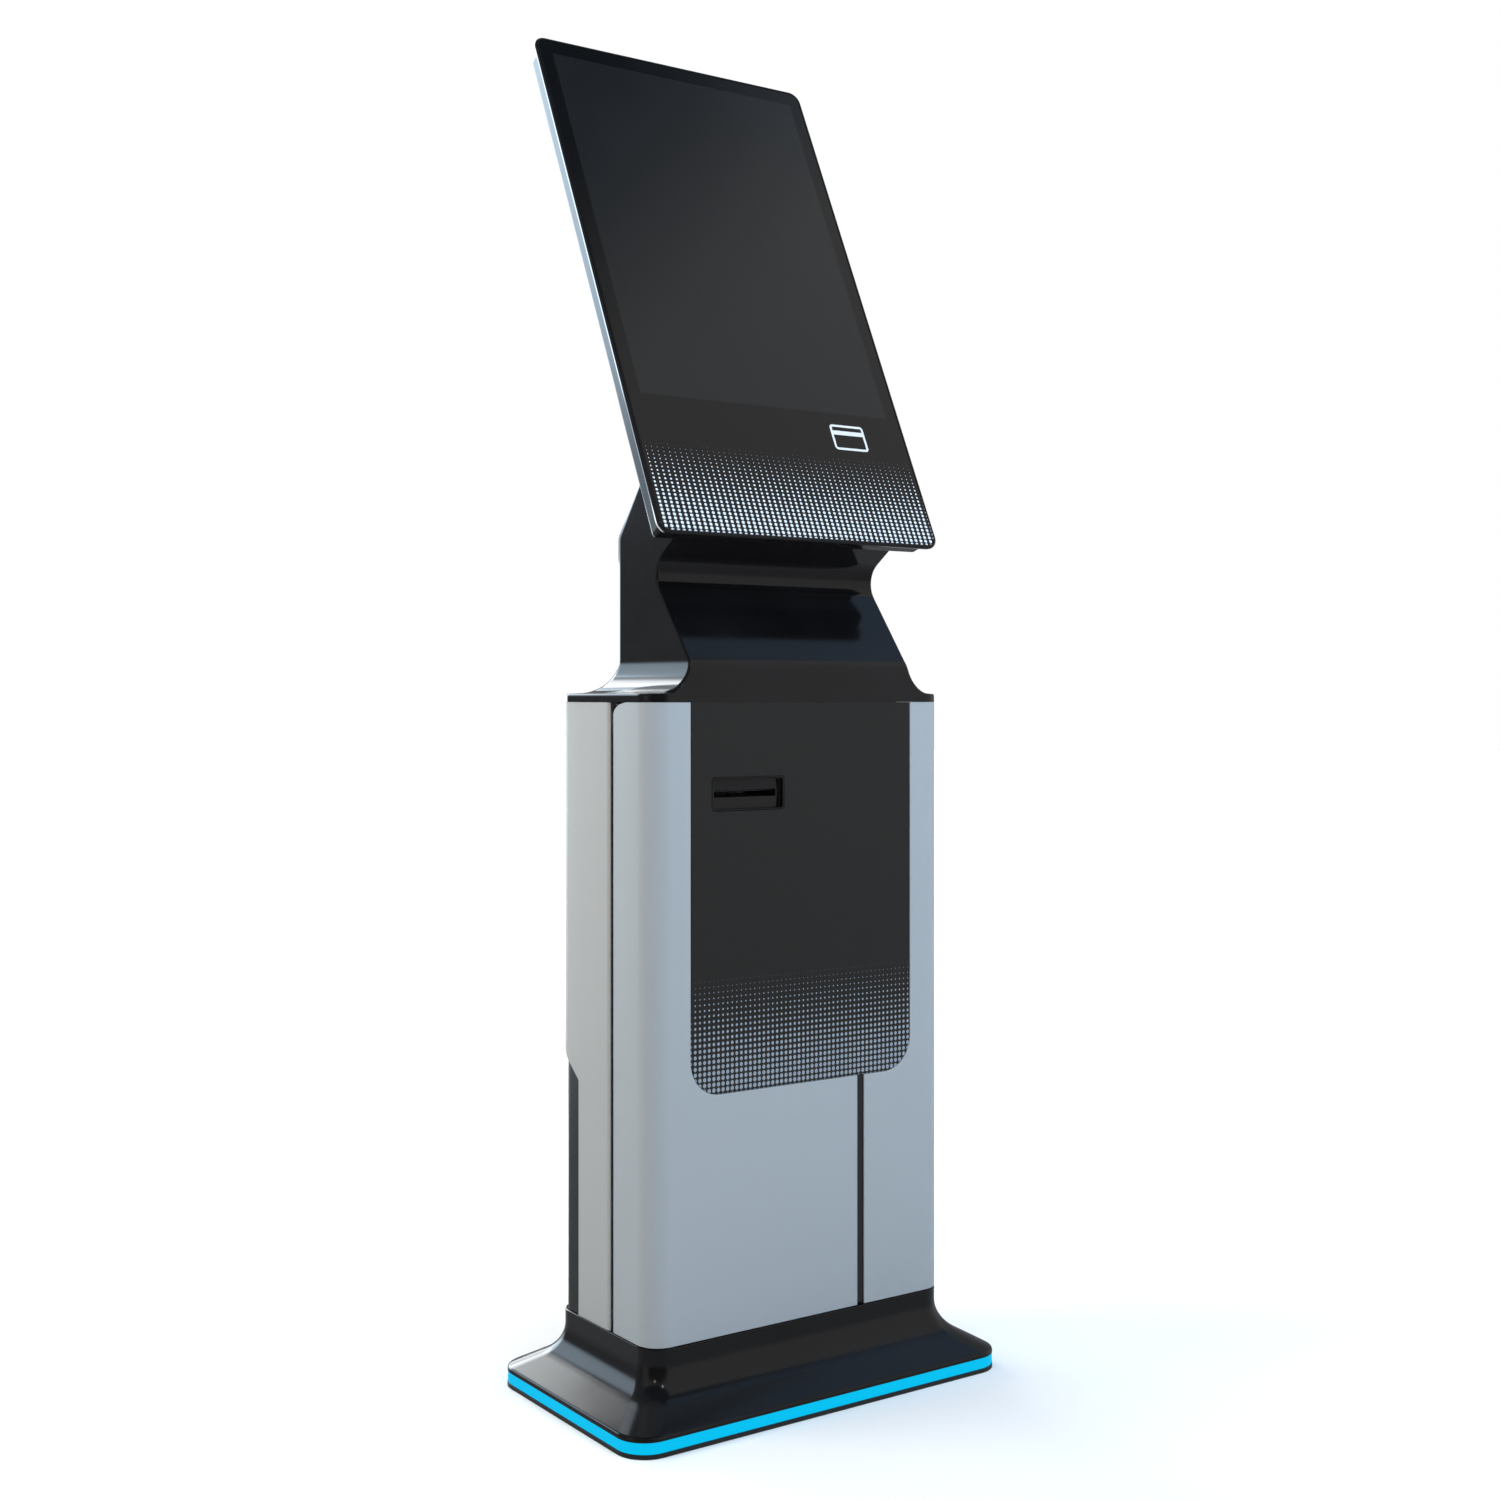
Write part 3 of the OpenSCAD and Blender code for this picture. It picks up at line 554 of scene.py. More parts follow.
@dataclass(frozen=True)
class PrintedPanel:
    """Satin dark panel with a dot fade in the door's colour."""

    name: str
    dots: DotFade
    colour: Colour = (0.0118, 0.0113, 0.0108)
    ink: Colour = (0.27, 0.31, 0.355)

    def make(self) -> bpy.types.Material:
        """Builds the material."""
        mix = Recipe(self.name)
        split = mix.add("ShaderNodeSeparateXYZ")
        mix.tree.links.new(mix.place(unit=MM), split.inputs[0])
        mask = self.dots.mask(mix, split.outputs["X"], split.outputs["Z"])
        grit = mix.noise(2400.0, 2.0)
        mix.set(
            Base_Color=mix.mix(mask, self.colour, self.ink),
            Roughness=mix.remap(grit, (0.3, 0.7), (0.38, 0.46)),
            Specular_IOR_Level=0.3)
        mix.bump(grit, 0.00001, 0.6)
        return mix.material


@dataclass(frozen=True)
class CardMark:
    """Plain outline of a payment card, printed beside the reader; millimetres."""

    centre: Pair
    half: Pair = (26.0, 18.0)
    corner: float = 5.0
    line: float = 3.2
    stripe: Pair = (3.5, 9.5)

    def mask(self, mix: Recipe, across: Socket, along: Socket) -> Socket:
        """Builds the mark's coverage from the two coordinates."""
        x = mix.math("ABSOLUTE", mix.math("SUBTRACT", across, self.centre[0]))
        up = mix.math("SUBTRACT", along, self.centre[1])
        y = mix.math("ABSOLUTE", up)
        qx = mix.math("MAXIMUM", mix.math("SUBTRACT", x, self.half[0] - self.corner), 0.0)
        qy = mix.math("MAXIMUM", mix.math("SUBTRACT", y, self.half[1] - self.corner), 0.0)
        reach = mix.math("SQRT", mix.math("ADD", mix.math("MULTIPLY", qx, qx), mix.math("MULTIPLY", qy, qy)))
        off_line = mix.math("ABSOLUTE", mix.math("SUBTRACT", reach, self.corner - self.line / 2))
        outline = mix.math("LESS_THAN", off_line, self.line / 2)
        in_band = mix.math("COMPARE", up, sum(self.stripe) / 2)
        in_band.node.inputs[2].default_value = (self.stripe[1] - self.stripe[0]) / 2
        stripe = mix.math("MULTIPLY", in_band, mix.math("LESS_THAN", x, self.half[0]))
        return mix.math("MAXIMUM", outline, stripe)


@dataclass(frozen=True)
class PrintedGlass:
    """Black-backed cover glass with the display's window, a dot fade and a card mark."""

    name: str
    origin: Vector
    lean: float
    window: tuple[float, float, float]
    dots: DotFade
    mark: CardMark
    border: Colour = (0.003, 0.003, 0.0032)
    display: Colour = (0.0088, 0.0092, 0.0099)
    ink: Colour = (0.62, 0.69, 0.76)
    mark_ink: Colour = (0.62, 0.64, 0.66)

    def make(self) -> bpy.types.Material:
        """Builds the material."""
        mix = Recipe(self.name)
        split = mix.add("ShaderNodeSeparateXYZ")
        local = mix.place(self.origin, (math.pi / 2 - self.lean, 0.0, 0.0), MM)
        mix.tree.links.new(local, split.inputs[0])
        across, along = split.outputs["X"], split.outputs["Y"]
        half_w, half_l, middle = self.window
        in_x = mix.math("LESS_THAN", mix.math("ABSOLUTE", across), half_w)
        in_y = mix.math("LESS_THAN", mix.math("ABSOLUTE", mix.math("SUBTRACT", along, middle)), half_l)
        window = mix.math("MULTIPLY", in_x, in_y)
        base = mix.mix(window, self.border, self.display)
        dots = mix.mix(self.dots.mask(mix, across, along), base, self.ink)
        smears = mix.noise(11.0, 5.0)
        mix.set(
            Base_Color=mix.mix(self.mark.mask(mix, across, along), dots, self.mark_ink),
            Roughness=mix.remap(smears, (0.3, 0.75), (0.06, 0.13)),
            Specular_IOR_Level=0.33)
        return mix.material


@dataclass(frozen=True)
class LitDiffuser:
    """Frosted light band with even light and a faint roll-off between its lamps."""

    name: str
    colour: Colour = (0.0, 0.50, 0.82)
    pitch: float = 0.012

    def make(self) -> bpy.types.Material:
        """Builds the material."""
        mix = Recipe(self.name)
        glow = mix.remap(mix.noise(1.0 / self.pitch, 1.0), (0.3, 0.7), (0.96, 1.04))
        dim = tuple(c * 0.9 for c in self.colour)
        mix.set(
            Base_Color=mix.mix(glow, (0.0, 0.03, 0.05), (0.0, 0.04, 0.07)),
            Emission_Color=mix.mix(glow, dim, self.colour),
            Emission_Strength=1.0,
            Roughness=0.5,
            Specular_IOR_Level=0.05)
        mix.bump(mix.noise(3000.0, 2.0), 0.00001, 0.4)
        return mix.material


@dataclass(frozen=True)
class WoundPaper:
    """Thermal paper; the roll's ends show its wound layers."""

    name: str
    axis: Vector
    layer: float = 0.0009

    def make(self) -> bpy.types.Material:
        """Builds the material."""
        mix = Recipe(self.name)
        split = mix.add("ShaderNodeSeparateXYZ")
        mix.tree.links.new(mix.place(self.axis), split.inputs[0])
        y, z = split.outputs["Y"], split.outputs["Z"]
        radius = mix.math("SQRT", mix.math("ADD", mix.math("MULTIPLY", y, y), mix.math("MULTIPLY", z, z)))
        wave = mix.math("SINE", mix.math("MULTIPLY", radius, math.tau / self.layer))
        layers = mix.remap(wave, (-1.0, 1.0), (0.0, 1.0))
        fibres = mix.noise(700.0, 5.0)
        mix.set(
            Base_Color=mix.mix(layers, (0.74, 0.74, 0.71), (0.86, 0.86, 0.84)),
            Roughness=mix.remap(fibres, (0.3, 0.7), (0.5, 0.7)),
            Specular_IOR_Level=0.25)
        mix.bump(layers, 0.00008, 0.5)
        return mix.material


@dataclass(frozen=True)
class GroundRubber:
    """Ground rubber with a soft mottled surface."""

    name: str
    colour: Colour = (0.018, 0.018, 0.019)

    def make(self) -> bpy.types.Material:
        """Builds the material."""
        mix = Recipe(self.name)
        dust = mix.noise(160.0, 4.0)
        mix.set(
            Base_Color=mix.mix(mix.remap(dust, (0.4, 0.75), (0.0, 1.0)), self.colour, (0.05, 0.05, 0.05)),
            Roughness=mix.remap(dust, (0.3, 0.7), (0.68, 0.86)),
            Specular_IOR_Level=0.25)
        mix.bump(mix.noise(2600.0, 3.0), 0.00004)
        return mix.material


@dataclass(frozen=True)
class CircuitBoard:
    """Solder-masked board with copper tracks under the mask."""

    name: str
    mask: Colour = (0.01, 0.085, 0.035)

    def make(self) -> bpy.types.Material:
        """Builds the material."""
        mix = Recipe(self.name)
        cells = mix.add("ShaderNodeTexVoronoi", distance="CHEBYCHEV")
        cells.inputs["Scale"].default_value = 240.0
        mix.tree.links.new(mix.place(), cells.inputs["Vector"])
        bands = mix.math("MULTIPLY", cells.outputs["Distance"], 3.0)
        tracks = mix.math("LESS_THAN", mix.math("FRACT", bands), 0.3)
        mix.set(
            Base_Color=mix.mix(tracks, self.mask, (0.03, 0.17, 0.06)),
            Roughness=mix.remap(mix.noise(60.0, 2.0), (0.3, 0.7), (0.25, 0.4)),
            Specular_IOR_Level=0.5)
        mix.bump(tracks, 0.00003, 0.6)
        return mix.material


# ---------------------------------------------------------------- sub-assemblies


@dataclass
class Plinth:
    """Lit plinth: the flared gloss cover and the light band; sizes in millimetres."""

    cover_material: bpy.types.Material
    band_material: bpy.types.Material
    rim_radius: float = 37.0
    collar_radius: float = 28.6
    collar_height: float = 16.0
    fillet: float = 45.0
    slope_end: float = 60.0
    rim_height: float = 3.0
    rim_ease: Sequence[Pair] = ((0.0, 0.0), (0.35, 1.3), (1.2, 2.6), (2.8, 3.6))
    top_ease: Sequence[Pair] = ((0.0, 1.2), (0.35, 0.35), (1.2, 0.0))
    skirt: float = 6.0
    foot_gap: float = 0.3
    wall: float = 3.0
    band_wall: float = 8.0
    band_gap: float = 0.4
    band_head_gap: float = 0.2
    corner_steps: int = 14

    def __post_init__(self) -> None:
        """Reads the outer sizes from the frame."""
        self.low, self.high = span("plinth_cover")
        self.pedestal = span("side_cover_right")[1]
        self.overhang = Vector((self.high.x - self.pedestal.x, self.high.y - self.pedestal.y))

    def outline(self, blank: Blank, out: float, height: float) -> list:
        """Adds the cover's outline where it stands out from the pedestal by some distance.

        Args:
            blank: the piece.
            out: distance outside the pedestal's sides.
            height: height above the floor.

        Returns:
            The ring's edges.
        """
        share = out / self.overhang.x
        radius = self.collar_radius + (self.rim_radius - self.collar_radius) * share
        width = 2 * (self.pedestal.x + out)
        depth = 2 * (self.pedestal.y + self.overhang.y * share)
        return blank.ring(width, depth, (radius, radius), level_plane(height), self.corner_steps)

    def profile(self) -> list[Pair]:
        """Lists the cover's section as distances out and heights, up the outside and down the inside."""
        out, base, top = self.overhang.x, self.low.z, self.high.z
        arc_top = top - self.collar_height
        rim = base + self.rim_height
        section = [(out, base + self.foot_gap)]
        section += [(out - inset, rim + rise) for inset, rise in self.rim_ease]
        for degrees in range(int(self.slope_end), -1, -5):
            turn = math.radians(degrees)
            section.append((self.fillet * (1 - math.cos(turn)), arc_top - self.fillet * math.sin(turn)))
        section += [(-inset, top - drop) for inset, drop in self.top_ease]
        section.append((-self.wall, top))
        inside = self.fillet + self.wall
        for degrees in range(0, int(self.slope_end) + 1, 10):
            turn = math.radians(degrees)
            section.append((self.fillet - inside * math.cos(turn), arc_top - inside * math.sin(turn)))
        section += [(out - self.skirt, rim), (out - self.skirt, base + self.foot_gap)]
        return section

    def build(self) -> None:
        """Makes the cover and the light band."""
        cover = Blank()
        cover.skin_over([self.outline(cover, *point) for point in self.profile()], closed=True)
        Piece("plinth_cover_moulding", self.cover_material, Body.FRAME.value, ["plinth_cover"], "gloss_black",
              Round.NONE, ease_angle=50.0).finish(cover)

        low, high = span("led_diffuser")
        band = Blank()
        foot, head = low.z + self.band_gap, high.z - self.band_head_gap
        rings = []
        for inset, height in ((self.band_gap, foot), (self.band_gap, head), (self.band_wall, head),
                              (self.band_wall, foot)):
            radius = self.rim_radius - inset
            rings.append(band.ring(2 * (high.x - inset), 2 * (high.y - inset), (radius, radius),
                                   level_plane(height), self.corner_steps))
        band.skin_over(rings, closed=True)
        Piece("light_band", self.band_material, Body.FRAME.value, ["led_diffuser"], "light_band",
              Round.SHEET).finish(band)


@dataclass
class FrontDoor:
    """Front door: two painted skins with rolled corners, the printed insert and the receipt bezel."""

    paint: bpy.types.Material
    insert_material: bpy.types.Material
    bezel_material: bpy.types.Material
    corner: float = 28.6
    insert_corner: float = 40.0
    insert_gap: float = 0.5
    bezel_gap: float = 0.35
    sweep: Pair = (32.0, 14.0)
    sheet: float = 2.0
    mouth: Pair = (86.0, 7.5)
    bezel_rim: float = 2.0
    bezel_corner: float = 4.0
    bezel_depth: float = 10.0
    recess: float = 7.0

    def __post_init__(self) -> None:
        """Reads the outer sizes from the frame."""
        self.left_low, self.left_high = span("door_skin_left")
        self.right_low, self.right_high = span("door_skin_right")
        self.insert_low, self.insert_high = span("insert_panel")
        self.slot_low, self.slot_high = span("slot_bezel")

    def return_wall(self, blank: Blank, x: float) -> None:
        """Adds the side return with its swept upper rear corner.

        Args:
            blank: the skin.
            x: the wall's place across the width.
        """
        start, end = self.left_low.y + self.corner, self.left_high.y
        base, top = self.left_low.z, self.left_high.z
        length, drop = self.sweep
        known = set(blank.bm.verts)
        corners = [(start, base), (end, base), (end, top), (start, top)]
        blank.plate(corners, [0, 0, drop, 0], side_plane(x), 12)
        new = [v for v in blank.bm.verts if v not in known]
        arc = [v for v in new if v.co.y > end - drop - 0.01 and v.co.z > base + 1]
        bmesh.ops.scale(blank.bm, vec=(1.0, length / drop, 1.0),
                        space=Matrix.Translation((0.0, -end, 0.0)), verts=arc)

    def skin(self, corners: Sequence[Pair], rounds: Sequence[float], side: int) -> Blank:
        """Shapes one skin.

        Args:
            corners: corners of its flat front.
            rounds: rounding of each corner.
            side: -1 for the left skin and 1 for the right one.

        Returns:
            The open surface of the skin.
        """
        blank = Blank()
        front = self.left_low.y
        edge_x = side * (self.right_high.x - self.corner)
        blank.plate(corners, rounds, front_plane(front), 14)
        edge = blank.vertices_where(lambda p: abs(p.x - edge_x) < 0.01)
        blank.fold(edge, (edge_x, front + self.corner), side * 90.0)
        self.return_wall(blank, side * self.right_high.x)
        return blank

    def build_skins(self) -> None:
        """Makes the left and right skins, parted by the seam under the insert."""
        base, top = self.left_low.z, self.left_high.z
        half = self.insert_high.x + self.insert_gap
        sill = self.insert_low.z - self.insert_gap
        seam_left, seam_right = self.left_high.x, self.right_low.x
        edge = self.right_high.x - self.corner
        left = self.skin(
            [(-edge, base), (seam_left, base), (seam_left, sill), (-half, sill), (-half, top), (-edge, top)],
            [0, 0, 0, self.insert_corner, 0, 0], -1)
        right = self.skin(
            [(edge, top), (half, top), (half, sill), (seam_right, sill), (seam_right, base), (edge, base)],
            [0, 0, self.insert_corner, 0, 0, 0], 1)
        outward = Vector((0.0, -1.0, 0.0))
        for side, blank in (("left", left), ("right", right)):
            Piece(f"door_skin_{side}_painted", self.paint, Body.DOOR.value, [f"door_skin_{side}"],
                  "blue_grey_paint", Round.MOULDED, Sheet(self.sheet, outward)).finish(blank)

    def build_insert(self) -> None:
        """Makes the printed insert with the opening for the bezel."""
        blank = Blank()
        half, base, top = self.insert_high.x, self.insert_low.z, self.insert_high.z
        front = self.insert_low.y
        round_off = self.insert_corner - self.insert_gap
        outer = blank.plate([(-half, base), (half, base), (half, top), (-half, top)],
                            [round_off, round_off, 0, 0], front_plane(front), 14)
        edges = list(outer.edges)
        bmesh.ops.delete(blank.bm, geom=[outer], context="FACES_ONLY")
        centre = (self.slot_low + self.slot_high) / 2
        size = self.slot_high - self.slot_low
        gap = self.bezel_gap
        place = Matrix.Translation((centre.x, 0.0, centre.z)) @ front_plane(front)
        round_hole = self.bezel_corner + gap
        hole = blank.ring(size.x + 2 * gap, size.z + 2 * gap, (round_hole, round_hole), place, 6)
        filled = bmesh.ops.triangle_fill(blank.bm, use_beauty=True, use_dissolve=False, edges=edges + hole)
        faces = [g for g in filled["geom"] if isinstance(g, bmesh.types.BMFace)]
        blank.thicken(faces, (0.0, self.sheet, 0.0))
        Piece("insert_panel_printed", self.insert_material, Body.DOOR.value, ["insert_panel"], "insert_satin",
              Round.SHEET).finish(blank)

    def build_bezel(self) -> None:
        """Makes the receipt bezel: a narrow rim, a recess and the paper mouth."""
        centre = (self.slot_low + self.slot_high) / 2
        size = self.slot_high - self.slot_low
        front, back = self.slot_low.y, self.slot_high.y
        deep = front + self.bezel_depth
        blank = Blank()

        def ring(width: float, height: float, radius: float, y: float) -> list:
            """Adds one ring of the bezel's section at depth y."""
            place = Matrix.Translation((centre.x, 0.0, centre.z)) @ front_plane(y)
            return blank.ring(width, height, (radius, radius), place, 6)

        corner, rim = self.bezel_corner, self.bezel_rim
        inner = (size.x - 2 * rim, size.z - 2 * rim, corner - 1.0)
        mouth_w, mouth_h = self.mouth
        rings = [
            ring(size.x, size.z, corner, deep), ring(size.x, size.z, corner, front + 0.6),
            ring(size.x - 0.35, size.z - 0.35, corner - 0.15, front + 0.18),
            ring(size.x - 1.2, size.z - 1.2, corner - 0.4, front),
            ring(inner[0] + 1.0, inner[1] + 1.0, corner - 0.6, front),
            ring(inner[0] + 0.25, inner[1] + 0.25, corner - 0.9, front + 0.2),
            ring(*inner, front + 0.8), ring(*inner, front + self.recess - 1.2),
            ring(inner[0] - 0.7, inner[1] - 0.7, corner - 1.3, front + self.recess - 0.3),
            ring(inner[0] - 2.4, inner[1] - 2.4, corner - 1.6, front + self.recess),
            ring(mouth_w + 1.6, mouth_h + 1.6, 1.8, front + self.recess),
            ring(mouth_w + 0.4, mouth_h + 0.4, 1.2, front + self.recess + 0.3),
            ring(mouth_w, mouth_h, 1.0, front + self.recess + 1.0), ring(mouth_w, mouth_h, 1.0, back),
            ring(mouth_w + 4.0, mouth_h + 4.0, 2.0, back), ring(mouth_w + 4.0, mouth_h + 4.0, 2.0, deep),
        ]
        blank.skin_over(rings, closed=True)
        Piece("receipt_bezel", self.bezel_material, Body.DOOR.value, ["slot_bezel"], "gloss_black",
              Round.NONE, ease_angle=60.0).finish(blank)

    def build(self) -> None:
        """Makes the whole door's outside."""
        self.build_skins()
        self.build_insert()
        self.build_bezel()


@dataclass
class SideCovers:
    """Painted side covers with a curled front edge, the lower rear cut-out, and black strips that paint the
    shade in the gaps next to the door.
    """

    paint: bpy.types.Material
    rubber: bpy.types.Material
    roll: float = 10.0
    curl: float = 42.0
    front_return: float = 20.0
    corner: float = 28.6
    wrap: float = 65.0
    sheet: float = 2.0
    cut_depth: float = 52.0
    cut_height: float = 375.0
    cut_rise: float = 43.0
    shade_strip_overlap: float = 2.0

    def build(self) -> None:
        """Makes both covers with the black strips that paint the shade in the door gaps."""
        low, high = span("side_cover_right")
        for side in ("right", "left"):
            outward = Vector((1.0 if side == "right" else -1.0, 0.0, 0.0))
            forward = Vector((0.0, -1.0, 0.0))
            for blank, piece in (
                    (self.shape_cover(low, high), Piece(
                        f"side_cover_{side}_painted", self.paint, Body.FRAME.value, [f"side_cover_{side}"],
                        "warm_grey_paint", Round.MOULDED, Sheet(self.sheet, outward))),
                    # This black strip paints the shade that falls in the gap between the door and the cover.
                    (self.shape_gap_shade_strip(low, high), Piece(
                        f"gap_shade_strip_{side}", self.rubber, Body.FRAME.value, (), "black_plastic", Round.BURR,
                        Sheet(self.sheet, forward)))):
                if side == "left":
                    blank.mirror_x()
                piece.finish(blank)

    def shape_cover(self, low: Vector, high: Vector) -> Blank:
        """Shapes the right cover's surface from its curled front edge to its rear wrap."""
        blank = Blank()
        centre = (high.x - self.roll, low.y + self.roll)
        turn = math.radians(90.0 - self.curl)
        start = (centre[0] + self.roll * math.sin(turn), centre[1] - self.roll * math.cos(turn))
        edge = [blank.bm.verts.new((*start, z)) for z in (low.z, high.z)]
        blank.bm.edges.new(edge)
        edge = blank.fold(edge, centre, self.curl, 8)
        edge = blank.run(edge, (0.0, high.y - self.corner - low.y - self.roll, 0.0))
        edge = blank.fold(edge, (high.x - self.corner, high.y - self.corner), 90.0)
        blank.run(edge, (self.corner - self.wrap, 0.0, 0.0))
        self.cut_out(blank, high.y)
        return blank

    def shape_gap_shade_strip(self, low: Vector, high: Vector) -> Blank:
        """Shapes the right black strip, which carries the curl on to the inner flange; it paints the shade in
        the gap next to the door.
        """
        blank = Blank()
        edge = [blank.bm.verts.new((high.x - self.front_return, low.y, z)) for z in (low.z, high.z)]
        blank.bm.edges.new(edge)
        edge = blank.run(edge, (self.front_return - self.roll, 0.0, 0.0))
        blank.fold(edge, (high.x - self.roll, low.y + self.roll), 90.0 - self.curl - self.shade_strip_overlap, 6)
        return blank

    def cut_out(self, blank: Blank, rear: float) -> None:
        """Cuts the lower rear opening, whose upper edge rises to the rear.

        Args:
            blank: the cover.
            rear: depth of the rear face.
        """
        start = rear - self.cut_depth
        rise = self.cut_rise / self.cut_depth
        cuts = (((0.0, start, 0.0), (0.0, 1.0, 0.0)), ((0.0, start, self.cut_height), (0.0, -rise, 1.0)))
        for point, normal in cuts:
            bmesh.ops.bisect_plane(blank.bm, geom=blank.bm.verts[:] + blank.bm.edges[:] + blank.bm.faces[:],
                                   dist=0.001, plane_co=point, plane_no=normal)
        gone = []
        for face in blank.bm.faces:
            middle = face.calc_center_median()
            if middle.y > start and middle.z < self.cut_height + rise * (middle.y - start):
                gone.append(face)
        bmesh.ops.delete(blank.bm, geom=gone, context="FACES")


@dataclass
class Neck:
    """Gloss cap and neck moulding, skinned over level sections of its side profile."""

    material: bpy.types.Material
    half_width: float = 160.0
    fillet: float = 40.0
    lip_edge: float = 2.4
    lip_height: float = 10.0
    lip_ease: Sequence[Pair] = ((0.25, 2.3), (0.9, 1.2), (2.0, 0.55))
    band_lean: float = 3.0
    slope: float = 53.2
    flare: float = 145.5
    hollow: Pair = (-61.2, 970.4)
    hollow_radius: float = 29.0
    crease: float = 9.0
    chamfer_at: float = 1021.0
    chamfer_round: float = 5.0
    front_edge: float = 2.8
    foot_round: float = 15.0
    rear_edge: float = 22.0
    rear_gap: float = 0.5
    ledge: float = 4.0
    seat: float = 0.4
    lip_corner: float = 28.6
    housing_depth: float = 34.0

    def __post_init__(self) -> None:
        """Reads the outer sizes from the frame."""
        self.low, self.high = span("cap_neck")
        self.rear = span("neck_base")[1].y - self.rear_gap

    def side_profile(self, head: "Head") -> tuple[list[Pair], list[Pair]]:
        """Works out the neck's front and rear lines as depth against height.

        Args:
            head: the display head that the neck meets.

        Returns:
            The front line and the rear line, each from the bottom up.
        """
        front, band = self.low.y, self.low.y + self.band_lean
        turn_in, turn_out = math.radians(self.slope), math.radians(self.flare)
        start = (self.hollow[0] + self.hollow_radius * math.sin(turn_in),
                 self.hollow[1] - self.hollow_radius * math.cos(turn_in))
        end = (self.hollow[0] + self.hollow_radius * math.sin(turn_out),
               self.hollow[1] - self.hollow_radius * math.cos(turn_out))
        band_level = start[1] - (start[0] - band) * math.tan(turn_in)
        tan_in, tan_out = math.tan(turn_in), math.tan(turn_out)
        meet_y = (end[1] - start[1] + start[0] * tan_in - end[0] * tan_out) / (tan_in - tan_out)
        meet = (meet_y, start[1] + (meet_y - start[0]) * tan_in)
        foot = head.point(0.0, self.housing_depth)
        lean = math.tan(head.lean)
        reach_back = foot[0] - end[0] + (end[1] - foot[1]) * lean
        run = reach_back / (math.cos(turn_out) - math.sin(turn_out) * lean)
        flare_end = (end[0] + run * math.cos(turn_out), end[1] + run * math.sin(turn_out))
        drop = (self.rear - foot[0] - (self.chamfer_at - foot[1]) * lean) / (1 + lean)
        chamfer_end = (self.rear - drop, self.chamfer_at + drop)
        sketch = Blank()
        corners = [(front, self.low.z), (self.rear, self.low.z), (self.rear, self.chamfer_at), chamfer_end,
                   flare_end, meet, (band, band_level)]
        reach = self.hollow_radius * math.tan((turn_out - turn_in) / 2)
        rounds = [0, 0, self.chamfer_round, 0, 0, reach, self.crease / 3]
        sketch.plate(corners, rounds, side_plane(0.0), 14)
        points = [(v.co.y, v.co.z) for v in sketch.bm.verts]
        sketch.bm.free()
        rear_from, chamfer_from = self.rear - 0.001, self.chamfer_at - 9.0
        rear_line = [p for p in points
                     if p[0] > rear_from or (p[1] > chamfer_from and p[0] > chamfer_end[0] - 0.01)]
        front_line = [p for p in points if p not in rear_line] + [chamfer_end]
        return sorted(front_line, key=itemgetter(1)), sorted(rear_line, key=itemgetter(1))

    @staticmethod
    def depth_at(line: Sequence[Pair], level: float) -> float:
        """Reads a line's depth at a height."""
        for (y0, z0), (y1, z1) in zip(line, line[1:]):
            if z0 <= level <= z1 and z1 > z0:
                return y0 + (y1 - y0) * (level - z0) / (z1 - z0)
        return line[0][0] if level < line[0][1] else line[-1][0]

    def build(self, head: "Head") -> None:
        """Skins the moulding from the lip up to the display's back."""
        front_line, rear_line = self.side_profile(head)
        lip_top = self.low.z + self.lip_height
        pedestal = span("side_cover_right")[1]
        blank = Blank()
        rings = []

        def level(z: float, half: float, front: float, rear: float, rounds: Pair) -> None:
            """Adds one level section."""
            most = (rear - front) / 2 - 0.05
            rounds = (min(rounds[0], most), min(rounds[1], most))
            rings.append(blank.ring(2 * half, rear - front, rounds, level_plane(z, (front + rear) / 2), 8))

        corner = self.lip_corner
        front = self.low.y
        lip = [(0.0, self.low.z - self.seat), (0.0, lip_top - self.lip_edge - 1.2)]
        lip += [(inset, lip_top - drop) for inset, drop in self.lip_ease]
        for inset, z in lip:
            rounds = (corner - inset, corner - inset)
            level(z, pedestal.x - inset, front + min(inset, 0.3), pedestal.y - inset, rounds)
        steps = 12
        for step in range(steps + 1):
            turn = math.radians(90.0 * step / steps)
            out = self.fillet * (1 - math.sin(turn))
            z = lip_top + self.fillet * (1 - math.cos(turn))
            share = step / steps
            out_rear = out * (pedestal.y - self.ledge - self.rear) / self.fillet
            front_round = self.foot_round * (1 - share) ** 3 + self.front_edge
            rear_round = self.rear_edge + out * 0.1
            level(z, self.half_width + out, self.depth_at(front_line, z),
                  self.depth_at(rear_line, z) + out_rear, (front_round, rear_round))
        fillet_top = lip_top + self.fillet
        heights = sorted({round(p[1], 2) for p in front_line + rear_line if p[1] > fillet_top + 0.5})
        top = heights[-1] - 1.0
        for z in [h for h in heights if h < top] + [top]:
            level(z, self.half_width, self.depth_at(front_line, z), self.depth_at(rear_line, z),
                  (self.front_edge, self.rear_edge))
        blank.skin_over(rings)
        blank.fill(rings[0])
        blank.fill(rings[-1])
        Piece("neck_moulding", self.material, Body.FRAME.value, ["cap_neck"], "gloss_black",
              Round.NONE, ease_angle=55.0).finish(blank)


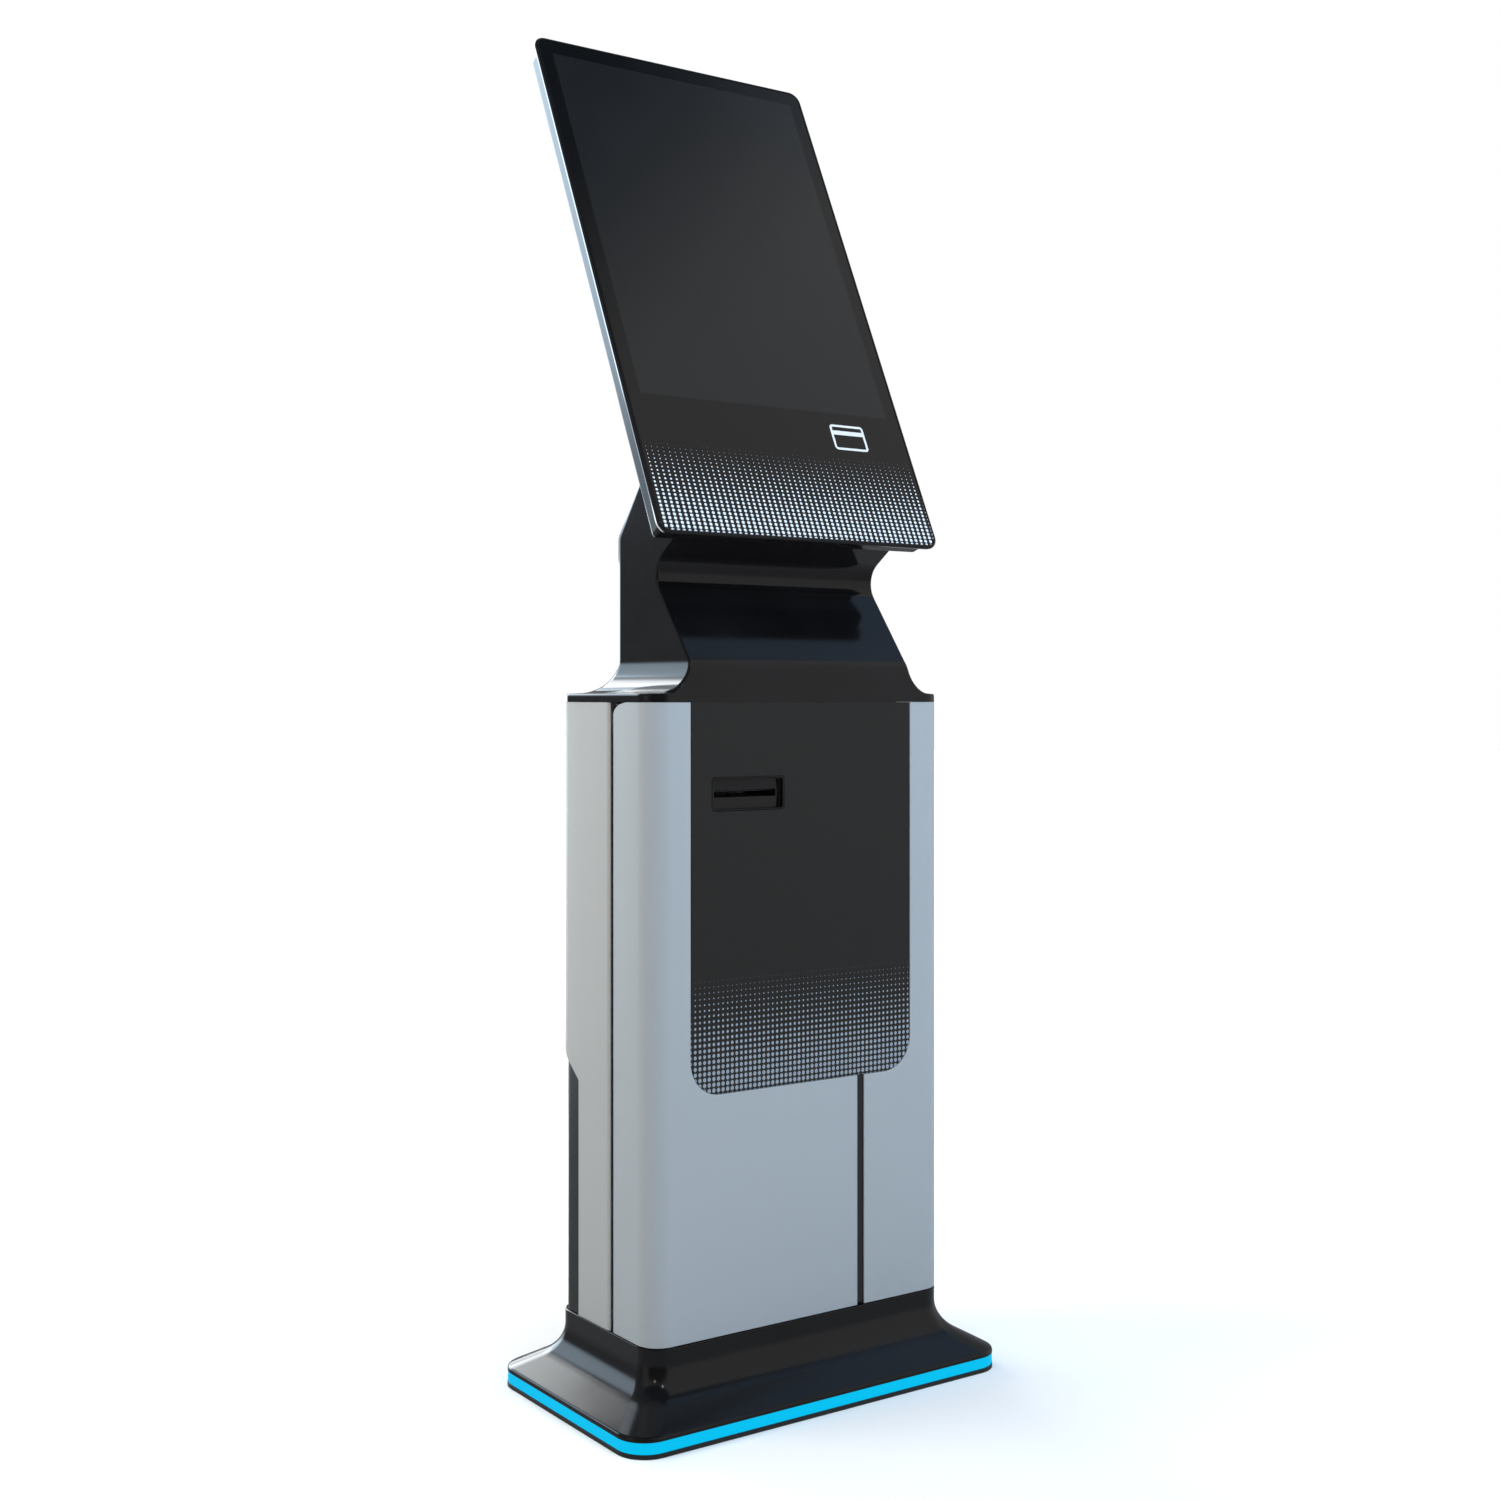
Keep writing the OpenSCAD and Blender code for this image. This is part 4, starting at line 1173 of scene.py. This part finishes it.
@dataclass
class Head:
    """Display head: bezel, printed cover glass and rear housing, in the head's own leaning frame."""

    gloss: bpy.types.Material
    housing_material: bpy.types.Material
    lean: float = math.radians(24.8)
    origin: Vector = field(default_factory=lambda: Vector((0.0, -111.0, 1013.0)))
    width: float = 408.0
    length: float = 703.5
    corner: float = 16.0
    bezel: float = 8.0
    bezel_draft: float = 1.5
    housing_draft: float = 2.4
    bezel_rest: float = 12.0
    bullnose: Sequence[Pair] = (
        (0.08, 4.0), (0.0, 3.6), (0.0, 3.0), (0.12, 2.2), (0.45, 1.45), (1.0, 0.8), (1.75, 0.33), (2.6, 0.07),
        (3.15, 0.0), (3.45, 0.12), (3.7, 0.45))
    glass_edge: float = 4.0
    glass_gap: float = 0.25
    glass_ease: Sequence[Pair] = ((0.0, 0.75), (0.2, 0.55), (0.55, 0.45))
    step: float = 8.0
    depth: float = 35.0
    back_edge: float = 5.0
    wall: float = 2.5

    def point(self, up: float, behind: float) -> Pair:
        """Finds the depth and height of a point of the head's side view."""
        y = self.origin.y + up * math.sin(self.lean) + behind * math.cos(self.lean)
        z = self.origin.z + up * math.cos(self.lean) - behind * math.sin(self.lean)
        return y, z

    def plane(self, behind: float) -> Matrix:
        """Places the plane parallel to the face at some depth behind it, centred on the face."""
        lean = Matrix.Rotation(math.pi / 2 - self.lean, 4, "X")
        return Matrix.Translation(self.origin) @ lean @ Matrix.Translation((0.0, self.length / 2, -behind))

    def ring(self, blank: Blank, inset: float, behind: float) -> list:
        """Adds the head's outline, moved in and behind the face."""
        radius = max(self.corner - inset, 1.5)
        width, length = self.width - 2 * inset, self.length - 2 * inset
        return blank.ring(width, length, (radius, radius), self.plane(behind), 12)

    def build(self, glass_material: bpy.types.Material) -> None:
        """Makes the bezel, the glass and the housing."""
        blank = Blank()
        lip = self.glass_edge - self.glass_gap
        section = [
            (self.bezel_draft + 0.5, self.bezel), (self.bezel_draft, self.bezel - 0.3), *self.bullnose,
            (lip, 1.0), (lip, self.glass_edge),
            (self.bezel_rest, self.glass_edge), (self.bezel_rest, self.bezel)]
        blank.skin_over([self.ring(blank, *point) for point in section], closed=True)
        Piece("head_bezel_frame", self.gloss, Body.FRAME.value, ["head_bezel"], "gloss_black",
              Round.NONE, ease_angle=50.0).finish(blank)

        blank = Blank()
        edge = self.glass_edge + 0.15
        back = self.glass_edge - 0.1
        section = [(edge + 0.3, back), (edge, back - 0.3)]
        section += [(edge + inset, behind) for inset, behind in self.glass_ease]
        rings = [self.ring(blank, *point) for point in section]
        blank.skin_over(rings)
        blank.fill(rings[0])
        blank.fill(rings[-1])
        Piece("cover_glass_printed", glass_material, Body.FRAME.value, ["cover_glass"], "cover_glass",
              Round.NONE, ease_angle=12.0).finish(blank)

        blank = Blank()
        draft = self.housing_draft
        section = [(self.step + self.wall, self.bezel), (self.step, self.bezel),
                   (self.step + draft, self.depth - self.back_edge)]
        for degrees in range(15, 91, 15):
            turn = math.radians(degrees)
            section.append((self.step + draft + self.back_edge * (1 - math.cos(turn)),
                            self.depth - self.back_edge * (1 - math.sin(turn))))
        rings = [self.ring(blank, *point) for point in section]
        inner = [self.ring(blank, self.step + draft + self.wall, self.depth - self.wall)]
        blank.skin_over([inner[0], *rings])
        blank.fill(rings[-1])
        blank.fill(inner[0])
        Piece("head_housing_shell", self.housing_material, Body.FRAME.value, ["head_housing"],
              "housing_plastic", Round.NONE, ease_angle=50.0).finish(blank)


@dataclass
class FramedParts:
    """CAD parts that keep their outline: each gets an eased copy with its own finish."""

    finishes: dict[str, bpy.types.Material]
    eases: dict[str, Round]
    blackened: tuple[str, ...] = ("hinge", "door_")
    area_slack: float = 1.0

    def __post_init__(self) -> None:
        """Reads which body and slot each node belongs to."""
        record = frame["record"]
        self.bodies = {n: b for b, nodes in record["behaviour"]["bodies"].items() for n in nodes}
        self.slots = {row["node"]: row["material_slot"] for row in record["subparts"]}

    def build(self) -> None:
        """Makes an eased copy of every CAD node that is still shown."""
        for node in sorted(frame["nodes"]):
            source = frame["nodes"][node]
            if source.hide_render:
                continue
            slot = "frame_black" if node.startswith(self.blackened) else self.slots[node]
            blank = self.merged_copy(source, merge_flats=True)
            triangles = self.merged_copy(source, merge_flats=False)
            if abs(self.drawn_area(blank) - self.drawn_area(triangles)) > self.area_slack:
                LOG.info("%s keeps its own triangles", node)
                blank = triangles
            Piece(f"{node}_finished", self.finishes[slot], self.bodies[node], [node], slot,
                  self.eases.get(node, Round.BURR)).finish(blank)

    @staticmethod
    def merged_copy(source: bpy.types.Object, merge_flats: bool) -> Blank:
        """Copies a CAD mesh in millimetres and joins its loose triangles.

        Args:
            source: the CAD object.
            merge_flats: whether flat neighbours become one face.

        Returns:
            The copy.
        """
        blank = Blank()
        bm = blank.bm
        bm.from_mesh(source.data)
        bmesh.ops.scale(bm, vec=(1 / MM, 1 / MM, 1 / MM), verts=bm.verts[:])
        bmesh.ops.remove_doubles(bm, verts=bm.verts[:], dist=CAD_WELD)
        if merge_flats:
            bmesh.ops.dissolve_limit(bm, angle_limit=FLAT, use_dissolve_boundaries=False,
                                     verts=bm.verts[:], edges=bm.edges[:], delimit=set())
        return blank

    @staticmethod
    def drawn_area(blank: Blank) -> float:
        """Adds up the area of the triangles that the copy is drawn with, in square millimetres."""
        total = 0.0
        for one, two, three in blank.bm.calc_loop_triangles():
            total += (two.vert.co - one.vert.co).cross(three.vert.co - one.vert.co).length / 2
        return total


# ---------------------------------------------------------------- studio


@dataclass(frozen=True)
class Glow:
    """Soft patch in the surroundings, round a direction; it adds light or stands in for it."""

    toward: tuple[float, float, float]
    colour: Colour
    edge: Pair
    blend: str = "ADD"


@dataclass(frozen=True)
class Lamp:
    """Square softbox; a fill isn't seen in the gloss."""

    name: str
    at: tuple[float, float, float]
    size: float
    watts: float
    colour: Colour
    mirrored: bool = False
    upright: bool = False


@dataclass
class Studio:
    """Plain pale floor, soft surroundings, softboxes and the camera."""

    horizon: Colour = (0.72, 0.705, 0.69)
    zenith: Colour = (0.035, 0.06, 0.085)
    zenith_edge: Pair = (0.735, 0.825)
    ground: Colour = (0.38, 0.39, 0.41)
    ground_edge: Pair = (-0.25, 0.0)
    backdrop: float = 1.0
    glows: Sequence[Glow] = (
        Glow((0.0, 1.0, 0.0), (0.25, 0.26, 0.28), (-0.1, 0.4), "MIX"),
        Glow((-0.574, -0.819, 0.1), (0.12, 0.085, 0.055), (0.55, 0.9), "MIX"),
        Glow((0.62, -0.02, 0.78), (0.32, 0.47, 0.68), (0.955, 0.985), "MIX"),
        Glow((-0.10, 0.975, 0.17), (1.5, 1.95, 2.35), (0.945, 0.975)),
        Glow((-0.38, 0.855, 0.32), (2.5, 3.2, 3.8), (0.965, 0.988)),
        Glow((0.031, 0.898, 0.438), (5.0, 5.0, 5.0), (0.978, 0.992)),
    )
    lamps: Sequence[Lamp] = (
        Lamp("Overhead softbox", (0.0, -0.4, 4.5), 3.0, 98.0, (1.0, 1.0, 1.0)),
        Lamp("Front fill", (1.0, -2.2, 2.5), 1.2, 38.0, (0.60, 0.95, 1.34)),
        Lamp("Left fill", (-1.9, 0.9, 2.7), 1.2, 40.0, (1.0, 0.93, 0.80)),
        Lamp("Low rear panel", (-0.15, 1.5, 0.62), 0.95, 10.5, (0.9, 0.97, 1.0), True, True),
        Lamp("High rear panel", (-0.1, 1.5, 1.86), 1.08, 8.5, (0.8, 0.93, 1.04), True, True),
        Lamp("Front sparkle", (-0.25, -3.0, 3.4), 0.25, 6.0, (0.92, 0.97, 1.0), True),
        Lamp("Warm sparkle", (-2.3, -2.2, 2.6), 0.25, 5.0, (1.0, 0.82, 0.64), True),
    )
    camera_at: tuple[float, float, float] = (-1.3598, -1.9345, 0.825)
    camera_turn: float = -35.01
    lens: float = 46.34
    lift: float = -1.0 / 30.0

    def build_surroundings(self) -> None:
        """Builds the world: a level gradient with soft patches, plain white behind the object."""
        world = bpy.data.worlds.new("Soft surroundings")
        bpy.context.scene.world = world
        world.use_nodes = True
        tree = world.node_tree
        tree.nodes.clear()
        new, link = tree.nodes.new, tree.links.new
        way = new("ShaderNodeTexCoord").outputs["Generated"]

        def ramp(value: Socket, source: Pair) -> Socket:
            """Adds a smooth step from 0 to 1."""
            node = new("ShaderNodeMapRange")
            node.interpolation_type = "SMOOTHSTEP"
            link(value, node.inputs["Value"])
            node.inputs["From Min"].default_value, node.inputs["From Max"].default_value = source
            return node.outputs["Result"]

        def blend(kind: str, factor: Socket, a: Socket | Colour, b: Socket | Colour) -> Socket:
            """Adds a colour mix."""
            node = new("ShaderNodeMix")
            node.data_type = "RGBA"
            node.blend_type = kind
            node.clamp_result = False
            link(factor, node.inputs["Factor"])
            for value, socket in ((a, node.inputs[6]), (b, node.inputs[7])):
                if isinstance(value, bpy.types.NodeSocket):
                    link(value, socket)
                else:
                    socket.default_value = (*value, 1.0)
            return node.outputs[2]

        split = new("ShaderNodeSeparateXYZ")
        link(way, split.inputs[0])
        light = blend("MIX", ramp(split.outputs["Z"], self.zenith_edge), self.horizon, self.zenith)
        for glow in self.glows:
            dot = new("ShaderNodeVectorMath")
            dot.operation = "DOT_PRODUCT"
            link(way, dot.inputs[0])
            dot.inputs[1].default_value = Vector(glow.toward).normalized()
            light = blend(glow.blend, ramp(dot.outputs["Value"], glow.edge), light, glow.colour)
        light = blend("MIX", ramp(split.outputs["Z"], self.ground_edge), self.ground, light)
        scene_light, backdrop = new("ShaderNodeBackground"), new("ShaderNodeBackground")
        link(light, scene_light.inputs["Color"])
        backdrop.inputs["Color"].default_value = (self.backdrop, self.backdrop, self.backdrop, 1.0)
        choose, output = new("ShaderNodeMixShader"), new("ShaderNodeOutputWorld")
        link(new("ShaderNodeLightPath").outputs["Is Camera Ray"], choose.inputs[0])
        link(scene_light.outputs[0], choose.inputs[1])
        link(backdrop.outputs[0], choose.inputs[2])
        link(choose.outputs[0], output.inputs["Surface"])

    def build_floor(self) -> None:
        """Lays the plain pale floor."""
        mix = Recipe("Pale floor")
        reach = mix.add("ShaderNodeVectorMath", operation="LENGTH")
        mix.tree.links.new(mix.place(), reach.inputs[0])
        lift = mix.remap(reach.outputs["Value"], (0.6, 5.0), (0.06, 1.0))
        mix.set(
            Base_Color=mix.mix(mix.noise(0.7, 2.0), (0.79, 0.79, 0.79), (0.81, 0.81, 0.81)),
            Roughness=0.9,
            Specular_IOR_Level=0.1,
            Emission_Color=(1.0, 1.0, 1.0),
            Emission_Strength=lift)
        bm = bmesh.new()
        bmesh.ops.create_circle(bm, cap_ends=True, radius=30.0, segments=96)
        mesh = bpy.data.meshes.new("floor")
        bm.to_mesh(mesh)
        bm.free()
        mesh.materials.append(mix.material)
        floor = bpy.data.objects.new("floor", mesh)
        bpy.context.scene.collection.objects.link(floor)
        floor.visible_glossy = False
        floor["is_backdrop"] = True

    def hang(self, lamp: Lamp) -> None:
        """Hangs one softbox so that it looks at the middle of the kiosk."""
        light = bpy.data.lights.new(lamp.name, "AREA")
        light.size, light.energy, light.color = lamp.size, lamp.watts, lamp.colour
        obj = bpy.data.objects.new(lamp.name, light)
        target = Vector((lamp.at[0], 0.0, lamp.at[2])) if lamp.upright else Vector((0.0, 0.0, 0.8))
        turn = (target - Vector(lamp.at)).to_track_quat("-Z", "Y").to_matrix().to_4x4()
        obj.matrix_world = Matrix.Translation(lamp.at) @ turn
        obj.visible_camera, obj.visible_glossy = False, lamp.mirrored
        bpy.context.scene.collection.objects.link(obj)

    def build_camera(self) -> None:
        """Stands the level camera at the front left."""
        data = bpy.data.cameras.new("Product camera")
        data.lens, data.sensor_width, data.shift_y = self.lens, 36.0, self.lift
        data.clip_end = 200.0
        camera = bpy.data.objects.new("Product camera", data)
        camera.location = self.camera_at
        camera.rotation_euler = (math.pi / 2, 0.0, math.radians(self.camera_turn))
        bpy.context.scene.collection.objects.link(camera)
        bpy.context.scene.camera = camera

    def build(self) -> None:
        """Sets up everything round the object."""
        bpy.context.scene.view_settings.view_transform = "Standard"
        self.build_surroundings()
        self.build_floor()
        for lamp in self.lamps:
            self.hang(lamp)
        self.build_camera()


# ---------------------------------------------------------------- assembly


def head_glass(head: Head) -> bpy.types.Material:
    """Builds the cover glass's finish in the head's own frame."""
    low, high = span("lcd_panel")
    trim = 7.0
    active_length = (high.z - low.z - 12.0 * math.sin(head.lean)) / math.cos(head.lean) - 2 * trim
    middle = 432.0
    dots = DotFade((7.75, 5.16), (-0.75, 9.0), 5.0, 124.0, (2.15, -0.1), 0.95)
    mark = CardMark((111.5, 150.0))
    window = (high.x - trim, active_length / 2, middle)
    return PrintedGlass("Printed cover glass", head.origin * MM, head.lean, window, dots, mark).make()


def finishes() -> dict[str, bpy.types.Material]:
    """Builds one finish for each material slot of the record.

    Returns:
        The materials by slot.
    """
    axle = (span("roll_spindle")[0] + span("roll_spindle")[1]) / 2
    insert_dots = DotFade((6.36, 6.57), (-2.1, 379.25), 374.0, 518.0, (2.2, -0.2), 1.16)
    return {
        "gloss_black": GlossMoulding("Gloss black moulding").make(),
        "plinth_gloss": GlossMoulding("Gloss black plinth", roughness=0.13).make(),
        "housing_plastic": GlossMoulding("Black housing", roughness=0.16).make(),
        "blue_grey_paint": PowderCoat("Blue-grey door paint", (0.342, 0.375, 0.398), 0.4, 0.00001).make(),
        "warm_grey_paint": PowderCoat(
            "Warm grey cover paint", (0.365, 0.372, 0.37), 0.5, 0.00007, 900.0).make(),
        "frame_black": PowderCoat("Satin black powder coat", (0.012, 0.012, 0.013), 0.45, 0.00004).make(),
        "controller_case": PowderCoat("Ribbed black case", (0.018, 0.018, 0.02), 0.38, 0.00003).make(),
        "insert_satin": PrintedPanel("Printed insert", insert_dots).make(),
        "zinc_steel": PlatedSteel("Zinc-plated steel").make(),
        "lock_chrome": PlatedSteel("Chromed lock", (0.72, 0.72, 0.73), 0.14, 0.2).make(),
        "light_band": LitDiffuser("Lit band").make(),
        "led_board": MouldedTexture("White light board", (0.7, 0.7, 0.66), 0.45).make(),
        "black_plastic": MouldedTexture("Black moulded plastic", (0.014, 0.014, 0.015)).make(),
        "printer_plastic": MouldedTexture("Printer grey", (0.045, 0.048, 0.052), 0.5).make(),
        "lid_plastic": MouldedTexture("Printer lid", (0.02, 0.021, 0.023), 0.42).make(),
        "red_plastic": MouldedTexture("Red rocker", (0.45, 0.02, 0.015), 0.3, 0.00001).make(),
        "button_plastic": MouldedTexture("Blue button", (0.03, 0.15, 0.55), 0.28, 0.00001).make(),
        "platen_rubber": GroundRubber("Ground rubber").make(),
        "receipt_paper": WoundPaper("Receipt paper", axle * MM).make(),
        "display_black": GlossMoulding("Display panel", roughness=0.3).make(),
        "circuit_board": CircuitBoard("Circuit board").make(),
    }


def main() -> None:
    logging.basicConfig(level=logging.INFO, format="%(name)s: %(message)s")
    Studio().build()
    finish = finishes()
    head = Head(finish["gloss_black"], finish["housing_plastic"])
    Plinth(finish["plinth_gloss"], finish["light_band"]).build()
    FrontDoor(finish["blue_grey_paint"], finish["insert_satin"], finish["gloss_black"]).build()
    SideCovers(finish["warm_grey_paint"], finish["platen_rubber"]).build()
    Neck(finish["gloss_black"]).build(head)
    head.build(head_glass(head))
    FramedParts(finish, {"base_plate": Round.SHEET}).build()


def write_sizes() -> None:
    """Works out the CAD box and the visual model's box."""
    boxes = [[list(corner) for corner in box] for box in (CAD_BOX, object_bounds())]


if __name__ == "__main__":
    main()
    write_sizes()
